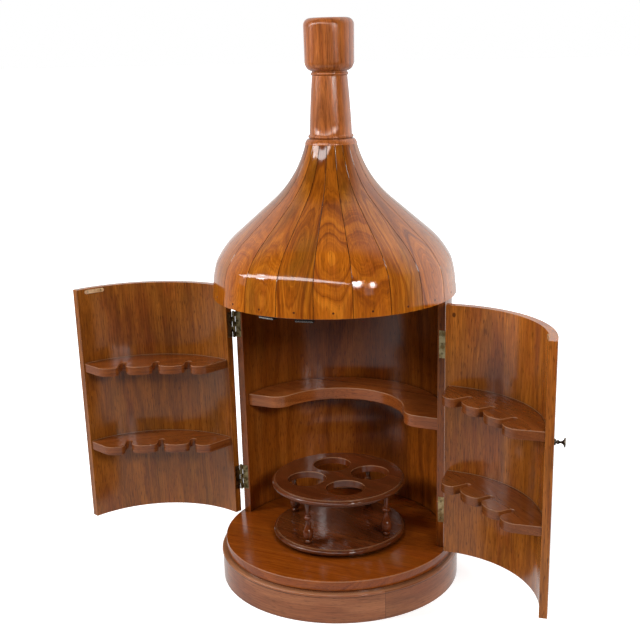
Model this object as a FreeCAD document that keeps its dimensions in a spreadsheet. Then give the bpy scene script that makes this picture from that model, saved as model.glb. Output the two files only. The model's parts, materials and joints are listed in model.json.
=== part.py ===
import FreeCAD, Part
import os
import re
import sys

import Sketcher

# Bottle-shaped bar cabinet, in millimetres. Origin at the centre of the
# plinth's underside, +Z up, the doors' meeting line towards -Y.
# Each door is drawn closed, then turned about its hinge to the rest angle,
# so every solid stands where it is with both doors open.

SIZES = [
    # Plinth and floor
    ("plinth_step", 10.0),
    ("plinth_wall", 22.0),
    ("plinth_height", 66.0),
    ("bead_height", 8.0),
    ("bead_overhang", 2.0),
    ("bead_width", 34.0),
    ("strip_height", 3.5),
    ("strip_inset", 12.0),
    ("floor_overhang", 9.0),
    ("floor_thickness", 25.5),
    ("floor_edge_round", 2.0),
    # Carcass
    ("carcass_radius", 281.0),
    ("panel_thickness", 18.0),
    ("carcass_height", 621.0),
    ("top_board_thickness", 18.0),
    # Shelf
    ("shelf_top_height", 327.0),
    ("shelf_thickness", 31.0),
    ("shelf_depth", 97.0),
    ("shelf_setback", 18.0),
    ("shelf_corner_inset", 63.0),
    ("shelf_corner_mid_inset", 91.0),
    ("shelf_corner_mid_y", 29.0),
    ("shelf_cut_start_y", 46.0),
    # Doors
    ("door_bottom_gap", 2.0),
    ("door_top_gap", 4.0),
    ("hinge_half_gap", 1.5),
    ("meeting_half_gap", 1.0),
    ("left_rest_angle", 108.5),
    ("right_rest_angle", 98.0),
    # Stemware racks: stations along the chord of the door's inner wall,
    # reach from that chord towards the middle of the cabinet
    ("rack_thickness", 22.0),
    ("upper_rack_drop", 196.0),
    ("lower_rack_height", 214.0),
    ("rack_hinge_gap", 8.0),
    ("rack_meeting_gap", 4.0),
    ("outer_lobe_station", 72.0),
    ("outer_lobe_reach", 47.4),
    ("outer_lobe_round", 9.4),
    ("inner_lobe_reach", 39.0),
    ("side_slot_station", 103.0),
    ("side_slot_floor", 6.0),
    ("middle_slot_floor", 9.0),
    ("outer_lobe_mouth", 43.0),
    ("inner_lobe_mouth", 32.0),
    ("slot_width", 17.0),
    ("slot_corner_round", 13.0),
    # Hinges
    ("hinge_length", 66.0),
    ("hinge_drop", 72.0),
    ("hinge_rise", 66.0),
    ("leaf_thickness", 1.2),
    ("leaf_inset", 3.5),
    ("knuckle_radius", 3.8),
    ("knuckle_gap", 0.4),
    ("pin_offset", 5.0),
    ("pin_radius", 1.5),
    ("pin_head_radius", 2.6),
    ("pin_head_height", 1.6),
    ("running_gap", 0.05),
    ("cut_overrun", 1.0),
    # Strikes and catches
    ("strike_length", 52.0),
    ("strike_height", 10.0),
    ("strike_thickness", 1.2),
    ("strike_drop", 3.5),
    ("catch_angle", 10.5),
    ("catch_length", 42.0),
    ("catch_depth", 14.0),
    ("catch_height", 12.0),
    ("catch_setback", 21.5),
    # Knob
    ("knob_height", 399.0),
    ("knob_angle", 4.0),
    ("knob_rose_radius", 7.0),
    ("knob_rose_thickness", 3.0),
    ("knob_ball_radius", 4.5),
    ("knob_neck_radius", 2.4),
    ("knob_head_radius", 10.8),
    ("knob_head_thickness", 3.2),
    ("knob_flare_length", 6.5),
    ("knob_reach", 22.5),
    # Dome: inset from the rim, or radius, and height over the ceiling at the
    # ends and middles of its curves
    ("stave_count", 21.0),
    ("stave_turn", -0.7),
    ("stave_edge_chamfer", 0.8),
    ("rim_overhang", 10.0),
    ("rim_drop", 4.0),
    ("rim_seat_gap", 0.3),
    ("skirt_inset", 2.5),
    ("skirt_height", 26.0),
    ("hip_mid_inset", 5.8),
    ("hip_mid_height", 57.0),
    ("hip_inset", 13.2),
    ("hip_height", 85.0),
    ("shoulder_mid_inset", 34.0),
    ("shoulder_mid_height", 117.5),
    ("shoulder_inset", 57.0),
    ("shoulder_height", 142.5),
    ("waist_radius", 135.5),
    ("waist_height", 227.0),
    ("throat_hollow", 13.75),
    ("throat_lift", 2.5),
    ("dome_top_radius", 60.0),
    ("dome_height", 350.0),
    ("stave_thickness", 20.0),
    # Neck and stopper
    ("neck_height", 162.0),
    ("neck_foot_radius", 49.2),
    ("neck_mid_radius", 45.4),
    ("neck_top_radius", 40.6),
    ("collar_height", 11.5),
    ("collar_slope", 5.7),
    ("quirk_height", 1.6),
    ("quirk_depth", 3.0),
    ("foot_bead_height", 8.0),
    ("foot_bead_swell", 2.4),
    ("top_bead_height", 7.0),
    ("top_bead_swell", 2.4),
    ("top_bead_drop", 3.0),
    ("neck_spigot_radius", 38.0),
    ("neck_spigot_length", 24.0),
    ("stopper_radius", 56.8),
    ("stopper_height", 114.0),
    ("stopper_foot_radius", 43.5),
    ("stopper_foot_round", 20.0),
    ("stopper_head_round", 16.0),
    # Bottle carousel, which turns a little off the middle of the floor
    ("carousel_x", 4.0),
    ("carousel_y", -8.0),
    ("washer_radius", 30.0),
    ("washer_thickness", 3.7),
    ("carousel_gap", 0.3),
    ("carousel_radius", 168.0),
    ("carousel_board", 17.5),
    ("carousel_bead_inset", 8.0),
    ("carousel_fillet", 2.5),
    ("carousel_ledge", 2.4),
    ("carousel_spacing", 111.0),
    ("hole_radius", 48.5),
    ("hole_circle", 81.0),
    ("hole_turn", 37.0),
    ("hole_count", 4.0),
    ("spindle_circle", 139.0),
    ("spindle_turn", -8.0),
    ("spindle_foot_radius", 8.8),
    ("spindle_vase_radius", 13.4),
    ("spindle_waist_radius", 5.2),
    ("spindle_bead_radius", 10.0),
    ("spindle_neck_radius", 7.2),
    ("spindle_foot_mid", 4.0),
    ("spindle_foot_top", 8.0),
    ("spindle_vase_mid", 22.0),
    ("spindle_vase_top", 37.0),
    ("spindle_taper_mid", 47.0),
    ("spindle_waist_height", 59.0),
    ("spindle_bead_foot", 61.5),
    ("spindle_bead_mid", 67.0),
    ("spindle_bead_top", 72.5),
    ("spindle_ring_top", 76.0),
    ("spindle_neck_mid", 88.0),
    ("pivot_radius", 5.0),
    ("pivot_depth", 11.0),
    ("pivot_end_chamfer", 1.5),
    ("pivot_end_gap", 1.0),
]

# Heights and radii that several pieces share, worked out from those above.
LEVELS = [
    ("floor_radius", "carcass_radius + floor_overhang"),
    ("plinth_radius", "floor_radius + plinth_step"),
    ("bead_top", "plinth_height + bead_height"),
    ("strip_top", "bead_top + strip_height"),
    ("floor_top", "strip_top + floor_thickness"),
    ("ceiling", "floor_top + carcass_height"),
    ("inner_radius", "carcass_radius - panel_thickness"),
    ("shelf_cut_radius", "inner_radius - shelf_depth"),
    ("shelf_corner_x", "inner_radius - shelf_corner_inset"),
    ("shelf_corner_mid_x", "inner_radius - shelf_corner_mid_inset"),
    ("catch_face_radius", "carcass_radius - catch_setback"),
    ("hinge_radius", "carcass_radius + pin_offset"),
    ("door_bottom", "floor_top + door_bottom_gap"),
    ("door_height", "carcass_height - door_bottom_gap - door_top_gap"),
    ("door_top", "door_bottom + door_height"),
    ("rack_chord", "inner_radius * sqrt(2)"),
    ("upper_rack_height", "carcass_height - upper_rack_drop"),
    ("upper_hinge_height", "carcass_height - hinge_drop - hinge_length"),
    ("knuckle_length", "hinge_length / 5"),
    ("rim_radius", "carcass_radius + rim_overhang"),
    ("skirt_radius", "rim_radius - skirt_inset"),
    ("hip_mid_radius", "rim_radius - hip_mid_inset"),
    ("hip_radius", "rim_radius - hip_inset"),
    ("shoulder_mid_radius", "rim_radius - shoulder_mid_inset"),
    ("shoulder_radius", "rim_radius - shoulder_inset"),
    ("throat_mid_radius", "(waist_radius + dome_top_radius) / 2 - throat_hollow"),
    ("throat_mid_height", "(waist_height + dome_height) / 2 + throat_lift"),
    ("dome_top", "ceiling + dome_height"),
    ("neck_top", "dome_top + neck_height"),
    ("stave_pitch", "360 / stave_count"),
    ("lower_disc_bottom", "floor_top + washer_thickness + carousel_gap"),
    ("lower_disc_top", "lower_disc_bottom + carousel_board"),
    ("upper_disc_bottom", "lower_disc_top + carousel_spacing"),
    ("pivot_length", "floor_thickness + washer_thickness + carousel_gap + pivot_depth"),
]

doc = FreeCAD.newDocument("bar_cabinet")
sheet = doc.addObject("Spreadsheet::Sheet", "Sizes")
for row, (alias, content) in enumerate(SIZES + LEVELS, start=1):
    sheet.set("A%d" % row, alias)
    sheet.set("B%d" % row, "=" + content if isinstance(content, str) else str(content))
    sheet.setAlias("B%d" % row, alias)
doc.recompute()

ALIASES = {alias for alias, content in SIZES + LEVELS}
nodes = []


def bound(text):
    """Return an expression with each alias pointed at the sheet."""
    def point(match):
        word = match.group(0)
        return "Sizes." + word if word in ALIASES else word

    return re.sub(r"[a-z_]+", point, str(text))


def number(text):
    """Return the present value of an expression."""
    return float(sheet.evalExpression(bound(text)))


def bind(thing, path, text):
    """Tie a property, a placement's part or a constraint to an expression."""
    thing.setExpression(path, bound(text))


def flip(side, text):
    """Return an expression mirrored for the left side, where side is -1."""
    return "(%s)" % text if side > 0 else "-(%s)" % text


def near(point, other):
    return (point - other).Length < 1e-4


def outline(body, role, corners, lift=None):
    """Add a closed sketch on one of the body's own planes.

    Each corner is (x, y) or (x, y, middle), where middle is a point that the
    arc to the next corner passes through. All of them are expressions, and
    each becomes a constraint tied to the sheet.
    """
    sketch = body.newObject("Sketcher::SketchObject", "Outline")
    plane = next(f for f in body.Origin.OriginFeatures if f.Role == role)
    sketch.AttachmentSupport = (plane, [""])
    sketch.MapMode = "FlatFace"
    if lift is not None:
        bind(sketch, "AttachmentOffset.Base.z", lift)
    points = [FreeCAD.Vector(number(c[0]), number(c[1]), 0) for c in corners]
    curves = []
    rules = []
    sizes = []

    def pin(index, position, place):
        for kind, text in (("DistanceX", place[0]), ("DistanceY", place[1])):
            sizes.append((len(rules), text))
            rules.append(Sketcher.Constraint(kind, -1, 1, index, position, number(text)))

    starts = []
    ends = []
    middles = []
    for n, corner in enumerate(corners):
        here = points[n]
        there = points[(n + 1) % len(points)]
        if len(corner) == 2:
            curves.append(Part.LineSegment(here, there))
        else:
            middle = FreeCAD.Vector(number(corner[2][0]), number(corner[2][1]), 0)
            curves.append(Part.Arc(here, middle, there))
            middles.append((n, middle, corner[2]))
    sketch.addGeometry(curves, False)
    for n, point in enumerate(points):
        forward = near(sketch.getPoint(n, 1), point)
        starts.append((n, 1 if forward else 2))
        ends.append((n, 2 if forward else 1))
    for n, middle, text in middles:
        dot = sketch.addGeometry(Part.Point(middle), True)
        pin(dot, 1, text)
        rules.append(Sketcher.Constraint("PointOnObject", dot, 1, n))
    for n, corner in enumerate(corners):
        pin(starts[n][0], starts[n][1], corner)
        rules.append(Sketcher.Constraint("Coincident", *(ends[n - 1] + starts[n])))
    sketch.addConstraint(rules)
    for order, text in sizes:
        bind(sketch, "Constraints[%d]" % order, text)
    return sketch


def circle(body, x, y, radius, lift=None):
    """Add a sketch of one round on the body's XY plane."""
    sketch = body.newObject("Sketcher::SketchObject", "Round")
    plane = next(f for f in body.Origin.OriginFeatures if f.Role == "XY_Plane")
    sketch.AttachmentSupport = (plane, [""])
    sketch.MapMode = "FlatFace"
    if lift is not None:
        bind(sketch, "AttachmentOffset.Base.z", lift)
    centre = FreeCAD.Vector(number(x), number(y), 0)
    ring = Part.Circle(centre, FreeCAD.Vector(0, 0, 1), number(radius))
    index = sketch.addGeometry(ring, False)
    rules = [
        (Sketcher.Constraint("DistanceX", -1, 1, index, 3, number(x)), x),
        (Sketcher.Constraint("DistanceY", -1, 1, index, 3, number(y)), y),
        (Sketcher.Constraint("Radius", index, number(radius)), radius),
    ]
    for rule, text in rules:
        order = sketch.addConstraint(rule)
        bind(sketch, "Constraints[%d]" % order, text)
    return sketch


def new_body(name):
    body = doc.addObject("PartDesign::Body", "Body_" + name)
    body.Label = name
    nodes.append(body)
    return body


def feature(body, kind, sketch=None):
    """Add a solid feature to the body and make it the body's tip."""
    step = body.newObject("PartDesign::" + kind, kind)
    if sketch is not None:
        step.Profile = sketch
        sketch.Visibility = False
    body.Tip = step
    return step


def settle(body):
    """Work out the body's steps so far and return the last one."""
    for step in body.Group:
        step.recompute()
    return body.Tip


def padded(name, corners, length):
    """Return a body made of one outline drawn up by a length."""
    body = new_body(name)
    pad = feature(body, "Pad", outline(body, "XY_Plane", corners))
    bind(pad, "Length", length)
    return body


def pocketed(body, sketch, depth):
    """Cut a sketch upwards out of the body by a depth."""
    pocket = feature(body, "Pocket", sketch)
    pocket.Reversed = True
    bind(pocket, "Length", depth)
    return pocket


def turned(name, corners, axis="V_Axis", angle=None):
    """Return a body made of one outline turned about an axis of its sketch."""
    body = new_body(name)
    sketch = outline(body, "XZ_Plane", corners)
    turn = feature(body, "Revolution", sketch)
    turn.ReferenceAxis = (sketch, [axis])
    if angle is None:
        turn.Angle = 360
    else:
        bind(turn, "Angle", angle)
    return body


def place(thing, x="0", y="0", z="0", turn="0", side=0):
    """Place a piece by expressions; side -1 or 1 puts it on an open door.

    The position and turn are those with the door closed. The door's rest
    angle then carries the piece about the hinge pin's axis.
    """
    thing.Placement = FreeCAD.Placement(
        FreeCAD.Vector(0, 0, 0), FreeCAD.Rotation(FreeCAD.Vector(0, 0, 1), 1.0)
    )
    if side == 0:
        bind(thing, "Placement.Base.x", x)
        bind(thing, "Placement.Base.y", y)
        bind(thing, "Placement.Rotation.Angle", turn)
    else:
        swing = "right_rest_angle" if side > 0 else "-left_rest_angle"
        pin = flip(side, "hinge_radius")
        arm = "((%s) - %s)" % (x, pin)
        bind(
            thing,
            "Placement.Base.x",
            "%s + %s * cos(%s) - (%s) * sin(%s)" % (pin, arm, swing, y, swing),
        )
        bind(
            thing,
            "Placement.Base.y",
            "%s * sin(%s) + (%s) * cos(%s)" % (arm, swing, y, swing),
        )
        bind(thing, "Placement.Rotation.Angle", "(%s) + (%s)" % (turn, swing))
    bind(thing, "Placement.Base.z", z)
    return thing


def chord(radius, offset):
    """Return the half width of a round of this radius at this offset."""
    return "sqrt((%s) ^ 2 - (%s) ^ 2)" % (radius, offset)


def make_base():
    place(turned("plinth_ring", [
        ("plinth_radius - plinth_wall", "0"),
        ("plinth_radius", "0"),
        ("plinth_radius", "plinth_height"),
        ("plinth_radius - plinth_wall", "plinth_height"),
    ]))
    place(turned("plinth_bead", [
        ("plinth_radius - bead_width", "plinth_height"),
        ("plinth_radius - bead_overhang", "plinth_height", (
            "plinth_radius + bead_overhang", "plinth_height + bead_height / 2")),
        ("plinth_radius - bead_overhang", "bead_top"),
        ("plinth_radius - strip_inset", "bead_top"),
        ("plinth_radius - strip_inset", "strip_top"),
        ("plinth_radius - bead_width", "strip_top"),
    ]))
    round_point = "floor_edge_round * (1 - sqrt(0.5))"
    body = turned("floor_disc", [
        ("0", "0"),
        ("floor_radius - floor_edge_round", "0", (
            "floor_radius - " + round_point, round_point)),
        ("floor_radius", "floor_edge_round"),
        ("floor_radius", "floor_thickness - floor_edge_round", (
            "floor_radius - " + round_point, "floor_thickness - " + round_point)),
        ("floor_radius - floor_edge_round", "floor_thickness"),
        ("0", "floor_thickness"),
    ])
    pocketed(body, circle(body, "carousel_x", "carousel_y", "pivot_radius"),
             "floor_thickness")
    place(body, z="strip_top")


def leaf_mortise(body, side, low, high, base):
    """Cut the recess for one hinge leaf out of an end face."""
    inner = flip(side, "inner_radius + leaf_inset")
    outer = flip(side, "carcass_radius + cut_overrun")
    corners = [(inner, low), (outer, low), (outer, high), (inner, high)]
    pocketed(body, outline(body, "XY_Plane", corners, base), "hinge_length")


def make_carcass():
    gap = "hinge_half_gap"
    outer = chord("carcass_radius", gap)
    inner = chord("inner_radius", gap)
    body = padded("back_shell", [
        ("-(%s)" % outer, gap, ("0", "carcass_radius")),
        (outer, gap),
        (inner, gap, ("0", "inner_radius")),
        ("-(%s)" % inner, gap),
    ], "carcass_height")
    for side in (-1, 1):
        for height in ("hinge_rise", "upper_hinge_height"):
            leaf_mortise(body, side, gap + " - cut_overrun",
                         gap + " + leaf_thickness", height)
    place(body, z="floor_top")

    body = new_body("top_board")
    bind(feature(body, "Pad", circle(body, "0", "0", "carcass_radius")), "Length",
         "top_board_thickness")
    place(body, z="ceiling")

    wall = chord("inner_radius", "shelf_setback")
    start = chord("shelf_cut_radius", "shelf_cut_start_y")
    place(padded("shelf", [
        ("-(%s)" % wall, "shelf_setback", ("0", "inner_radius")),
        (wall, "shelf_setback"),
        ("shelf_corner_x", "shelf_setback", (
            "shelf_corner_mid_x", "shelf_corner_mid_y")),
        (start, "shelf_cut_start_y", ("0", "shelf_cut_radius")),
        ("-(%s)" % start, "shelf_cut_start_y", (
            "-shelf_corner_mid_x", "shelf_corner_mid_y")),
        ("-shelf_corner_x", "shelf_setback"),
    ], "shelf_thickness"), z="floor_top + shelf_top_height - shelf_thickness")


def make_door(name, side):
    gap = "hinge_half_gap"
    meet = "meeting_half_gap"
    outer = "carcass_radius"
    inner = "inner_radius"
    body = padded(name + "_door", [
        (flip(side, chord(outer, gap)), "-" + gap, (
            flip(side, outer + " * cos(45)"), "-carcass_radius * sin(45)")),
        (flip(side, meet), "-(%s)" % chord(outer, meet)),
        (flip(side, meet), "-(%s)" % chord(inner, meet), (
            flip(side, inner + " * cos(45)"), "-inner_radius * sin(45)")),
        (flip(side, chord(inner, gap)), "-" + gap),
    ], "door_height")
    for height in ("hinge_rise", "upper_hinge_height"):
        base = height + " - door_bottom_gap"
        leaf_mortise(body, side, "-%s - leaf_thickness" % gap,
                     "-%s + cut_overrun" % gap, base)
    place(body, z="door_bottom", side=side)


def slot_corners(station, floor, near_mouth, far_mouth):
    """Return the corners of one rack slot, from its hinge side to the other.

    The slot has a round floor on the door side of the chord. Where its sides
    meet the fronts of the lobes, the corners are arcs of 60 degrees that run
    smoothly into both. Each side has its own depth, because an outer lobe
    reaches further than an inner one.
    """
    half = "slot_width / 2"
    turn = "slot_corner_round"
    left = "%s - %s" % (station, half)
    right = "%s + %s" % (station, half)
    return [
        ("%s - %s * 0.5" % (left, turn), "-" + near_mouth, (
            "%s - %s * 0.134" % (left, turn), "-%s + %s * 0.366" % (near_mouth, turn))),
        (left, "-%s + %s * 0.866" % (near_mouth, turn)),
        (left, "%s - %s" % (floor, half), (station, floor)),
        (right, "%s - %s" % (floor, half)),
        (right, "-%s + %s * 0.866" % (far_mouth, turn), (
            "%s + %s * 0.134" % (right, turn), "-%s + %s * 0.366" % (far_mouth, turn))),
        ("%s + %s * 0.5" % (right, turn), "-" + far_mouth),
    ]


def make_rack(name, side, height):
    """Make one stemware board against the inner wall of a door.

    It is drawn with the wall's chord along x from the hinge end, the wall to
    +y and the middle of the cabinet to -y, mirrored for the left door. Its two
    ends are cut straight, to stay clear of the shell and of the other door.
    """
    slots = [
        slot_corners("side_slot_station", "side_slot_floor",
                     "outer_lobe_mouth", "inner_lobe_mouth"),
        slot_corners("rack_chord / 2", "middle_slot_floor",
                     "inner_lobe_mouth", "inner_lobe_mouth"),
        slot_corners("rack_chord - side_slot_station", "side_slot_floor",
                     "inner_lobe_mouth", "outer_lobe_mouth"),
    ]
    ends = []
    for gap in ("rack_hinge_gap", "rack_meeting_gap"):
        sag = "(inner_radius - %s)" % chord("inner_radius", gap)
        shoulder = "(outer_lobe_reach - outer_lobe_round)"
        ends.append((("(%s + %s) / sqrt(2)" % (sag, gap), "(%s - %s) / sqrt(2)" % (gap, sag)),
                     ("%s * sqrt(2) + %s" % (gap, shoulder), "-" + shoulder)))
    far = [tuple(("rack_chord - (%s)" % x, y) for x, y in end) for end in ends]
    corners = [
        ends[0][0],
        ends[0][1] + (("outer_lobe_station", "-outer_lobe_reach"),),
    ]
    for n, slot in enumerate(slots):
        corners += slot[:-1]
        if n < 2:
            following = slots[n + 1][0]
            middle = "((%s) + (%s)) / 2" % (slot[-1][0], following[0])
            corners.append(slot[-1] + ((middle, "-inner_lobe_reach"),))
        else:
            middle = "rack_chord - outer_lobe_station"
            corners.append(slot[-1] + ((middle, "-outer_lobe_reach"),))
    corners += [
        far[1][1],
        far[1][0] + (("rack_chord / 2", "inner_radius - rack_chord / 2"),),
    ]
    if side < 0:
        corners = [tuple(
            item if n == 1 else "-(%s)" % item if n == 0
            else ("-(%s)" % item[0], item[1])
            for n, item in enumerate(corner)) for corner in corners]
    body = padded(name, corners, "rack_thickness")
    place(body, x=flip(side, "inner_radius"), y="0", side=side,
          z="floor_top + %s - rack_thickness" % height,
          turn="135" if side < 0 else "-135")


def primitive(kind, name, sizes):
    """Add a Part primitive with its sizes tied to expressions."""
    thing = doc.addObject("Part::" + kind, name)
    for key, text in sizes.items():
        bind(thing, key, text)
    return thing


def barrel(radius, x, z, length):
    return place(primitive("Cylinder", "Barrel", {"Radius": radius, "Height": length}),
                 x=x, z=z)


def slab(side, near_x, far_x, y, z, deep, high):
    """Add a block between two distances from the cabinet's middle."""
    thing = primitive("Box", "Slab", {
        "Length": "(%s) - (%s)" % (far_x, near_x), "Width": deep, "Height": high})
    return place(thing, x=near_x if side > 0 else "-(%s)" % far_x, y=y, z=z)


def joined(name, parts, cuts=()):
    """Fuse the parts, take the cuts away, and register the result."""
    whole = doc.addObject("Part::MultiFuse", "Fused")
    whole.Shapes = parts
    if cuts:
        tools = doc.addObject("Part::MultiFuse", "Bores")
        tools.Shapes = list(cuts)
        base = whole
        whole = doc.addObject("Part::Cut", "Bored")
        whole.Base = base
        whole.Tool = tools
    whole.Label = name
    nodes.append(whole)
    return whole


def make_hinges(name, side):
    """Make one door's two butt hinges as shell leaves, door leaves and pins."""
    pin_x = flip(side, "hinge_radius")
    near_x = "inner_radius + leaf_inset"
    plate_x = "hinge_radius - knuckle_radius - knuckle_gap"
    kinds = [
        (name + "_hinge_shell_leaves", "hinge_half_gap", (0, 2, 4), "pin_radius", 0),
        (name + "_hinge_door_leaves", "-hinge_half_gap - leaf_thickness", (1, 3),
         "pin_radius + running_gap", side),
    ]
    heights = ["floor_top + hinge_rise", "floor_top + upper_hinge_height"]
    for label, y, knuckles, bore, moving in kinds:
        parts = []
        cuts = []
        for base in heights:
            parts.append(slab(side, near_x, plate_x, y, base, "leaf_thickness",
                              "hinge_length"))
            cuts.append(barrel(bore, pin_x, base + " - cut_overrun",
                               "hinge_length + 2 * cut_overrun"))
            for n in knuckles:
                low = "%s + %d * knuckle_length" % (base, n)
                length = "knuckle_length"
                if n in (1, 3):
                    low = low + " + knuckle_gap / 2"
                    length = "knuckle_length - knuckle_gap"
                elif n == 2:
                    low = low + " + knuckle_gap / 2"
                    length = "knuckle_length - knuckle_gap"
                else:
                    low = low if n == 0 else low + " + knuckle_gap / 2"
                    length = "knuckle_length - knuckle_gap / 2"
                parts.append(barrel("knuckle_radius", pin_x, low, length))
                parts.append(slab(side, plate_x, "hinge_radius - knuckle_radius / 2", y,
                                  low, "leaf_thickness", length))
        whole = joined(label, parts, cuts)
        if moving:
            place(whole, side=side)
    pins = []
    for base in heights:
        pins.append(barrel("pin_radius", pin_x, base, "hinge_length"))
        pins.append(barrel("pin_head_radius", pin_x, base + " + hinge_length",
                           "pin_head_height"))
        pins.append(barrel("pin_head_radius", pin_x, base + " - pin_head_height",
                           "pin_head_height"))
    joined(name + "_hinge_pins", pins)


def make_strike(name, side):
    """Make a bent plate with rounded ends on a door's inner face."""
    half = "(strike_length / inner_radius * 90 / 3.14159265)"
    low = "(-90 - %s)" % half
    high = "(-90 + %s)" % half
    face = "(inner_radius - strike_thickness)"
    body = padded(name + "_strike", [
        ("inner_radius * cos(%s)" % low, "inner_radius * sin(%s)" % low,
         ("0", "-inner_radius")),
        ("inner_radius * cos(%s)" % high, "inner_radius * sin(%s)" % high),
        ("%s * cos(%s)" % (face, high), "%s * sin(%s)" % (face, high),
         ("0", "-" + face)),
        ("%s * cos(%s)" % (face, low), "%s * sin(%s)" % (face, low)),
    ], "strike_height")
    tip = settle(body)
    short = []
    for n, edge in enumerate(tip.Shape.Edges, start=1):
        if abs(edge.Length - number("strike_thickness")) < 1e-3:
            short.append("Edge%d" % n)
    fillet = feature(body, "Fillet")
    fillet.Base = (tip, short)
    bind(fillet, "Radius", "strike_height / 2 - 0.2")
    place(body, z="door_top - strike_drop - strike_height", side=side,
          turn=flip(side, "catch_angle"))


def make_catch(name, side):
    face = "-catch_face_radius"
    back = "-catch_face_radius + catch_depth"
    place(padded(name + "_catch", [
        ("-catch_length / 2", face),
        ("catch_length / 2", face),
        ("catch_length / 2", back),
        ("-catch_length / 2", back),
    ], "catch_height"), z="ceiling - catch_height", turn=flip(side, "catch_angle"))


def make_knob():
    """Make the knob's three pieces, turned about the line off the door."""
    ball_half = chord("knob_ball_radius", "knob_neck_radius")
    ball_end = "knob_rose_thickness + 2 * " + ball_half
    ball_mid = "knob_rose_thickness + " + ball_half
    flare = "knob_reach - knob_head_thickness - knob_flare_length"
    pieces = [
        ("knob_rose", [
            ("0", "0"),
            ("0", "knob_rose_radius"),
            ("knob_rose_thickness / 2", "knob_rose_radius", (
                "knob_rose_thickness * 0.85", "knob_rose_radius - 0.6")),
            ("knob_rose_thickness", "knob_rose_radius - 2"),
            ("knob_rose_thickness", "0"),
        ]),
        ("knob_stem", [
            ("knob_rose_thickness", "0"),
            ("knob_rose_thickness", "knob_neck_radius", (ball_mid, "knob_ball_radius")),
            (ball_end, "knob_neck_radius"),
            (flare, "knob_neck_radius"),
            (flare, "0"),
        ]),
        ("knob_head", [
            (flare, "0"),
            (flare, "knob_neck_radius", (
                flare + " + knob_flare_length * 0.7", "knob_head_radius * 0.5")),
            ("knob_reach - knob_head_thickness", "knob_head_radius"),
            ("knob_reach - 2", "knob_head_radius", (
                "knob_reach - 0.5", "knob_head_radius - 0.9")),
            ("knob_reach", "knob_head_radius - 3"),
            ("knob_reach", "0"),
        ]),
    ]
    for name, corners in pieces:
        place(turned(name, corners, axis="H_Axis"), z="floor_top + knob_height", side=1,
              x="carcass_radius * sin(knob_angle)", y="-carcass_radius * cos(knob_angle)",
              turn="knob_angle - 90")


def make_dome():
    """Make the staves, each one turned through its share of the circle."""
    outer = [
        ("rim_radius", "rim_drop", ("(rim_radius + skirt_radius) / 2 + 0.3",
                                    "(rim_drop + skirt_height) / 2")),
        ("skirt_radius", "skirt_height", ("hip_mid_radius", "hip_mid_height")),
        ("hip_radius", "hip_height", ("shoulder_mid_radius", "shoulder_mid_height")),
        ("shoulder_radius", "shoulder_height"),
        ("waist_radius", "waist_height", ("throat_mid_radius", "throat_mid_height")),
        ("dome_top_radius", "dome_height"),
    ]
    inner = [
        ("dome_top_radius - stave_thickness", "dome_height"),
        ("dome_top_radius - stave_thickness", "dome_height - 5"),
        ("throat_mid_radius - stave_thickness * 0.85",
         "throat_mid_height - stave_thickness / 2"),
        ("waist_radius - stave_thickness * 0.65", "waist_height - stave_thickness * 0.75"),
        ("shoulder_radius - stave_thickness * 0.65",
         "shoulder_height - stave_thickness * 0.75"),
        ("hip_radius - stave_thickness * 0.95", "hip_height - stave_thickness * 0.35"),
        ("skirt_radius - stave_thickness", "skirt_height + stave_thickness / 2"),
        ("skirt_radius - stave_thickness", "top_board_thickness"),
        ("carcass_radius + rim_seat_gap", "top_board_thickness"),
        ("carcass_radius + rim_seat_gap", "rim_drop"),
    ]
    for n in range(int(number("stave_count"))):
        body = turned("dome_stave_%02d" % (n + 1), outer + inner, angle="stave_pitch")
        tip = settle(body)
        sketch = tip.Profile[0]
        marks = []
        for curve in [g for g in sketch.Geometry if not isinstance(g, Part.Point)][:5]:
            middle = curve.value((curve.FirstParameter + curve.LastParameter) / 2)
            marks.append((middle.x, middle.y))
        edges = []
        for m, edge in enumerate(tip.Shape.Edges, start=1):
            span = edge.ParameterRange
            middle = edge.valueAt((span[0] + span[1]) / 2)
            radius = (middle.x ** 2 + middle.y ** 2) ** 0.5
            for mark in marks:
                if abs(radius - mark[0]) + abs(middle.z - mark[1]) < 0.05:
                    edges.append("Edge%d" % m)
        chamfer = feature(body, "Chamfer")
        chamfer.Base = (tip, edges)
        bind(chamfer, "Size", "stave_edge_chamfer")
        place(body, z="ceiling", turn="stave_turn - 90 + %d * stave_pitch" % n)


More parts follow.
